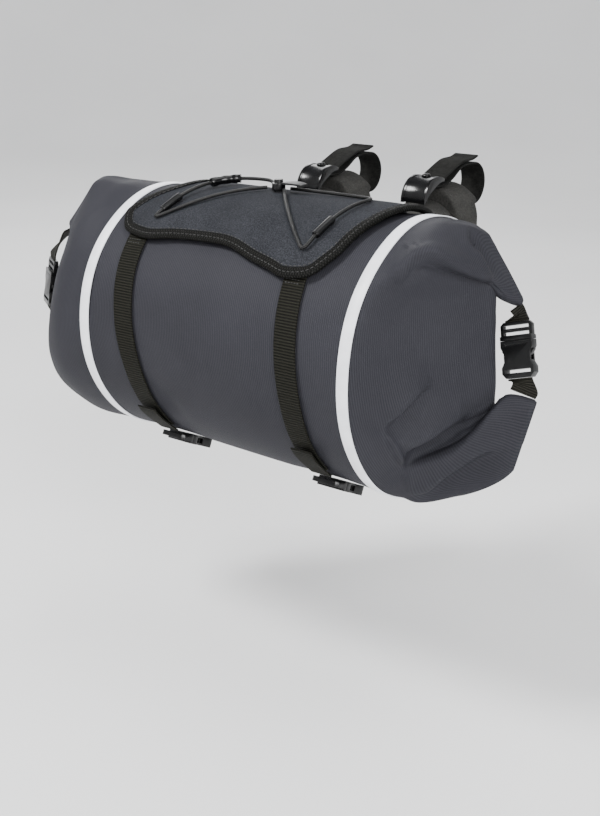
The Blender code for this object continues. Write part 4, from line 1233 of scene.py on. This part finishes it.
def side_place(obj, x):
    """Stands an outline drawn in y and z across the bag at x."""
    turn = Matrix(((0, 0, 1), (1, 0, 0), (0, 1, 0))).to_4x4()
    obj.matrix_world = Matrix.Translation(BAG_CENTRE + Vector((x, 0, 0))) @ turn


def seat_back(z):
    """How far back the panel's outer face is at a height."""
    radius = BODY_RADIUS + GAP + PANEL + 2 * GAP
    return radius * cos(asin(min(0.999, max(-0.999, z / radius))))


def groove_back(z):
    """The rear block's back face, with its step and groove under the handlebar."""
    radius = BAR_RADIUS + BAR_CLEAR
    start = BAR_UP + radius * sin(radians(215))
    rise = z - BAR_UP
    groove = BAR_BACK - sqrt(max(radius ** 2 - rise ** 2, (0.5 * radius) ** 2))
    step = min(1.0, max(0.0, (z - start + 4 * MM) / (4 * MM)))
    return FOAM_REAR_BACK + (groove - FOAM_REAR_BACK) * step


def arch_outline(top):
    """A foam block's outline from the front: straight sides, rounded foot and a round top, x and z."""
    half, foot = FOAM_WIDTH / 2, 5 * MM
    shoulder = top - half
    outline = arc((half - foot, FOAM_LOW + foot), foot, -90, 0, 4) + [(half, (FOAM_LOW + shoulder) / 2)]
    outline += arc((0, shoulder), half, 0, 180, 28) + [(-half, (FOAM_LOW + shoulder) / 2)]
    outline += arc((foot - half, FOAM_LOW + foot), foot, 180, 270, 4)
    return outline


# Rings of a foam block from its front to its back: share of the depth, and share of the outline's size.
FOAM_RINGS = ((0, 0.05), (0, 0.35), (0, 0.65), (0, 0.90), (0.004, 0.95), (0.02, 0.985), (0.05, 1.0), (0.3, 1.0),
              (0.6, 1.0), (0.93, 1.0), (0.975, 0.985), (0.995, 0.95), (1, 0.9), (1, 0.65), (1, 0.35), (1, 0.05))


def build_foam_block(name, node, x, top, front_at, back_at, finish):
    outline = arch_outline(top)
    middle = (FOAM_LOW + top) / 2
    rows = []
    for depth, size in FOAM_RINGS:
        row = []
        for across, z in outline:
            height = middle + (z - middle) * size
            y = front_at(height) + (back_at(height) - front_at(height)) * depth
            row.append(Vector((x + across * size, y, height)))
        rows.append(row)

    def uv_at(i, j):
        return j * 4 * MM, i * 4 * MM

    block = net(name, rows, uv_at, closed_columns=True, caps=True)
    settle(block)
    dress(block, finish, "foam", node)


def build_foam(side_name, x):
    """Two foam blocks: the front one seats on the back panel, the rear one takes the handlebar in its groove."""
    build_foam_block(f"front_pad_{side_name}", f"mount_foam_front_{side_name}", x, FRONT_FOAM_TOP,
                     seat_back, lambda z: FOAM_JOINT_BACK, FRONT_FOAM)
    build_foam_block(f"rear_pad_{side_name}", f"mount_foam_rear_{side_name}", x, REAR_FOAM_TOP,
                     lambda z: FOAM_JOINT_BACK + GAP, groove_back, REAR_FOAM)


def clip_place(angle, radius):
    return CLIP_BACK + radius * cos(radians(angle)), CLIP_UP + radius * sin(radians(angle))


def build_clip(side_name, x):
    """A glossy hook over the front foam: a curved plate with a crescent cheek on each side, and a rivet on top."""
    plate_thick = 2.2 * MM
    centre = (CLIP_BACK, CLIP_UP)
    outer = arc(centre, CLIP_RADIUS, CLIP_REAR_ANGLE, CLIP_FRONT_ANGLE, 24)
    inner = arc(centre, CLIP_RADIUS - plate_thick, CLIP_FRONT_ANGLE, CLIP_REAR_ANGLE, 24)
    plate = prism(f"hook_plate_{side_name}", outer + inner, CLIP_WIDTH)
    cheeks = []
    for side in (-1, 1):
        rim = arc(centre, CLIP_RADIUS + 0.6 * MM, CLIP_REAR_ANGLE - 2, CLIP_FRONT_ANGLE + 1, 24)
        hollow = []
        for i in range(25):
            share = i / 24
            angle = CLIP_FRONT_ANGLE + 1 - share * (CLIP_FRONT_ANGLE + 3 - CLIP_REAR_ANGLE)
            hollow.append(clip_place(angle, CLIP_RADIUS - 2.0 * MM - 6.0 * MM * sin(pi * share)))
        cheek = prism(f"cheek_{side_name}_{side}", rim + hollow, 3.0 * MM)
        cheek.location = (0, 0, side * (CLIP_WIDTH / 2 - 1.0 * MM))
        cheeks.append((cheek, "UNION"))
    bpy.context.view_layer.update()
    carve(plate, *cheeks)
    round_edges(plate, 0.7 * MM)
    side_place(plate, x)
    dress(plate, CLIP_PLASTIC, "clip_plastic", f"mount_clip_{side_name}")

    rows = []
    for radius, up in ((0.02, 1.0), (0.3, 0.98), (0.6, 0.86), (0.82, 0.62), (0.96, 0.3), (1.0, 0.08), (0.97, 0.0),
                       (0.02, 0.0)):
        ring = [2 * pi * k / 28 for k in range(28)]
        rows.append([Vector((x + RIVET_RADIUS * radius * cos(turn), CLIP_BACK + RIVET_RADIUS * radius * sin(turn),
                             CLIP_UP + CLIP_RADIUS + GAP + RIVET_HEIGHT * up)) for turn in ring])
    rivet = net(f"rivet_{side_name}", rows, lambda i, j: (j * MM, i * MM), closed_columns=True, caps=True)
    settle(rivet)
    dress(rivet, CLIP_PLASTIC, "clip_plastic", f"clip_rivet_{side_name}")


def build_mount_strap(side_name, x):
    """Hook-and-loop webbing: sewn behind the rear foam, round the bar, through the clip and back over itself."""
    loop = BAR_RADIUS + BAR_CLEAR
    over = REAR_FOAM_TOP + 2 * GAP
    path = [(FOAM_REAR_BACK + GAP, FOAM_LOW + 8 * MM), (FOAM_REAR_BACK + GAP, FOAM_LOW + 30 * MM),
            (BAR_BACK - 10 * MM, BAR_UP - loop - 6 * MM)]
    path += arc((BAR_BACK, BAR_UP), loop, -90, 90, 10)
    path += [(BAR_BACK - 20 * MM, BAR_UP + loop - 1 * MM), (BAR_BACK - 36 * MM, over + 4 * MM),
             (CLIP_BACK + 12 * MM, over), (CLIP_BACK - 6 * MM, over)]
    half = Vector((MOUNT_WEB_WIDTH / 2, 0, 0))
    strap = web(f"loop_strap_{side_name}", [Vector((x, y, z)) for y, z in path], [half] * len(path), MOUNT_WEB)
    dress(strap, LOOP_FABRIC, "webbing", f"mount_strap_{side_name}")
    clip_end = clip_place(CLIP_REAR_ANGLE, CLIP_RADIUS)
    tail_path = [(clip_end[0] + 2 * GAP, clip_end[1] - 1 * MM), (clip_end[0] + 10 * MM, clip_end[1] + 3 * MM),
                 (BAR_BACK - 20 * MM, BAR_UP + loop + MOUNT_WEB + 1 * MM),
                 (BAR_BACK - 3 * MM, BAR_UP + loop + MOUNT_WEB + 2 * MM),
                 (BAR_BACK + 5 * MM, BAR_UP + loop + MOUNT_WEB + 4 * MM)]
    tail = web(f"loop_tail_{side_name}", [Vector((x, y, z)) for y, z in tail_path], [-half] * len(tail_path), MOUNT_WEB)
    dress(tail, LOOP_FABRIC, "webbing", f"mount_strap_tail_{side_name}")


# Elastic cord


def on_flap(place, lift=0.0):
    return on_body(place[0] * BAND_X, place[1], flap_lift() + FLAP + lift)


def route_place(route, at):
    stops = [Vector(point) for point in route]
    x, angle, height = smooth_between(list(range(len(stops))), stops, at)
    return on_flap((x, angle), 2 * GAP + CORD * (0.5 + height)), outward(angle)


def build_cord(side_name, route):
    line = [route_place(route, i * (len(route) - 1) / 150)[0] for i in range(151)]
    cord = tube(f"elastic_cord_{side_name}", line, CORD / 2 * 0.97)
    dress(cord, CORD_BRAID, "cord", f"bungee_{side_name}")


def build_sleeve(name, node, route, start, end, wall, finish, slot, ribs=0):
    """A tube round the cord between two places of its route, with flared ends."""
    radius = CORD / 2 + 2 * GAP + wall
    steps, sides = 24, 20
    outside, inside = [], []
    for i in range(steps + 1):
        share = i / steps
        at = start + (end - start) * share
        place, normal = route_place(route, at)
        way = (route_place(route, at + 0.05)[0] - route_place(route, at - 0.05)[0]).normalized()
        across = way.cross(normal).normalized()
        up = across.cross(way)
        flare = 1.0 - 0.10 * max(0.0, sin(pi * share)) ** 0.5 + (0.05 * sin(ribs * 2 * pi * share) if ribs else 0.0)
        flare *= 0.93 if i in (0, steps) else 1.0
        ring = [2 * pi * k / sides for k in range(sides)]
        outside.append([place + (across * cos(turn) + up * sin(turn)) * (radius * flare) for turn in ring])
        bore = radius - wall
        inside.append([place + (across * cos(turn) + up * sin(turn)) * bore for turn in ring])
    sleeve = net(name, outside + inside[::-1], lambda i, j: (j * 0.6 * MM, i * 0.6 * MM), closed_rows=True,
                 closed_columns=True)
    settle(sleeve)
    dress(sleeve, finish, slot, node)


def build_lock():
    """The cord lock with its spring button, and the tab that pulls it."""
    half = LOCK_SIZE / 2
    outline = arc((0, 0), half, 0, 360, 28)[:-1]
    block = prism("toggle_body", outline, LOCK_SIZE * 0.55)
    button = prism("toggle_button", [(x * 0.66, y * 0.66) for x, y in outline], LOCK_SIZE * 0.3)
    button.location.z = -LOCK_SIZE * 0.4
    hole = prism("toggle_hole", box_outline(LOCK_SIZE * 1.4, CORD * 1.15), CORD * 1.15)
    bpy.context.view_layer.update()
    carve(block, (button, "UNION"), hole)
    round_edges(block, 0.8 * MM)
    normal = outward(CORD_LOCK[1])
    turn = Matrix((Vector((1, 0, 0)), -around(CORD_LOCK[1]), -normal)).transposed().to_4x4()
    centre = on_flap(CORD_LOCK, GAP + LOCK_SIZE * 0.4)
    block.matrix_world = Matrix.Translation(BAG_CENTRE + centre) @ turn
    dress(block, BUCKLE_PLASTIC, "buckle_plastic", "cord_lock")
    start = centre + Vector((half + GAP, 0, 0)) + normal * (LOCK_SIZE * 0.2)
    across = around(CORD_LOCK[1]) * (PULL_WIDTH / 2)
    centres = [start, start + Vector((PULL_LENGTH * 0.3, 0, 0)) + normal * 0.6 * MM,
               start + Vector((PULL_LENGTH * 0.7, 0, 0)) + normal * 0.8 * MM, start + Vector((PULL_LENGTH, 0, 0))]
    tab = web("pull_tab", centres, [across * 0.7, across, across, across * 0.8], WEB * 1.2, 0.8 * MM)
    dress(tab, TAB_RUBBER, "webbing", "cord_pull_tab")


def build_bungee():
    """A bow of elastic cord: two loops that leave the lock and come back to it."""
    build_cord("left", CORD_LEFT)
    build_cord("right", CORD_RIGHT)
    build_sleeve("barrel", "cord_barrel", CORD_LEFT, *BARREL_SPAN, BARREL_WALL, CLIP_PLASTIC, "buckle_plastic", 3)
    for side_name, route in (("left", CORD_LEFT), ("right", CORD_RIGHT)):
        build_sleeve(f"keeper_{side_name}", f"cord_keeper_{side_name}", route, *KEEPER_SPAN, KEEPER_WALL,
                     BUCKLE_PLASTIC, "webbing")
    build_lock()


# Sewing on the webbing


def strap_place(table, angle):
    keys = [-row[0] for row in table]
    return smooth_between(keys, [row[1] for row in table], -angle) * BAND_X


def build_strap_stitches(side_name, table):
    """Bars of thread that sew the strap to the flap's edge."""
    top = table[0][0] - 6
    for k, angle in enumerate((top, top - 1.6)):
        x = strap_place(table, angle)
        line = [on_body(x + share * 8 * MM, angle, GAP + WEB) for share in (-1, -0.5, 0, 0.5, 1)]
        stitch_row(f"strap_bar_{side_name}_{k}", line, [outward(angle)] * 5, 2.0 * MM, 0.7 * MM, 0.3 * MM)


# Studio


def build_stage():
    """A pale floor that rises into a wall all round."""
    profile = [(0.02, 0.0), (0.6, 0.0), (1.3, 0.0), (2.2, 0.0)]
    profile += [(2.2 + 1.8 * sin(radians(a)), 1.8 - 1.8 * cos(radians(a))) for a in range(10, 91, 10)]
    profile += [(4.0, 3.4)]
    floor_low = -0.40
    points, faces = [], []
    sides = 96
    for radius, up in profile:
        for k in range(sides):
            turn = 2 * pi * k / sides
            points.append((radius * cos(turn), radius * sin(turn) + BAG_CENTRE.y, floor_low + up))
    for i in range(len(profile) - 1):
        for k in range(sides):
            after = (k + 1) % sides
            faces.append((i * sides + k, i * sides + after, (i + 1) * sides + after, (i + 1) * sides + k))
    faces.append(tuple(reversed(range(sides))))
    mesh = bpy.data.meshes.new("studio_floor")
    mesh.from_pydata(points, [], faces)
    mesh.shade_smooth()
    floor = bpy.data.objects.new("studio_floor", mesh)
    bpy.context.scene.collection.objects.link(floor)
    paint = Finish("studio_paint", 0.9, Specular_IOR_Level=0.2)
    mottle = paint.grain(3, 2)
    paint.color(paint.ramp(mottle, (0.3, (0.83, 0.83, 0.83)), (0.7, (0.86, 0.86, 0.86))))
    mesh.materials.append(paint.made)


def area_light(name, place, target, size, power, color=(1, 1, 1)):
    light = bpy.data.lights.new(name, "AREA")
    light.shape = "RECTANGLE"
    light.size, light.size_y = size
    light.energy = power
    light.color = color
    obj = bpy.data.objects.new(name, light)
    obj.location = place
    obj.rotation_mode = "QUATERNION"
    obj.rotation_quaternion = (Vector(target) - Vector(place)).to_track_quat("-Z", "Y")
    bpy.context.scene.collection.objects.link(obj)


def build_lights():
    bag = tuple(BAG_CENTRE)
    area_light("key", (-1.0, -1.5, 2.0), bag, (0.7, 0.7), 92)
    area_light("top", (0.3, 0.2, 2.0), bag, (1.8, 1.2), 24)
    area_light("fill", (1.9, -1.5, 1.0), bag, (1.2, 1.2), 72)
    area_light("rim", (-1.6, 1.3, 0.9), bag, (0.9, 1.2), 14)
    world = bpy.data.worlds.new("studio")
    world.use_nodes = True
    sky = world.node_tree.nodes["Background"]
    sky.inputs["Color"].default_value = (0.93, 0.95, 1.0, 1)
    sky.inputs["Strength"].default_value = 0.34
    bpy.context.scene.world = world


def build_camera():
    azimuth, elevation = radians(38), radians(18.4)
    lens = bpy.data.cameras.new("camera")
    lens.sensor_width = 36
    lens.lens = 1300 / 816 * 36
    lens.clip_start = 0.05
    lens.clip_end = 30
    camera = bpy.data.objects.new("camera", lens)
    camera.location = (0.655, -1.001, 0.174)
    way = Vector((-sin(azimuth) * cos(elevation), cos(azimuth) * cos(elevation), -sin(elevation)))
    camera.rotation_mode = "QUATERNION"
    camera.rotation_quaternion = way.to_track_quat("-Z", "Y")
    bpy.context.scene.collection.objects.link(camera)
    bpy.context.scene.camera = camera


build_camera()
build_body()
for side_name, side in (("left", -1), ("right", 1)):
    build_band(side_name, side * BAND_X)
build_flap()
build_binding()
build_flap_stitches()
build_back_panel()
for side_name, table in (("left", LEFT_STRAP), ("right", RIGHT_STRAP)):
    build_front_strap(side_name, table)
    build_strap_stitches(side_name, table)
    strap_x = table[-1][1] * BAND_X
    build_bottom_buckle(side_name, strap_x)
    build_lower_strap(side_name, strap_x)
    build_strap_tail(side_name, strap_x)
build_bungee()
build_closure("left", LEFT_END, -1, LEFT_REACH)
build_closure("right", RIGHT_END, 1, RIGHT_REACH)
for side_name, side in (("left", -1), ("right", 1)):
    build_foam(side_name, side * MOUNT_X)
    build_clip(side_name, side * MOUNT_X)
    build_mount_strap(side_name, side * MOUNT_X)
build_stage()
build_lights()
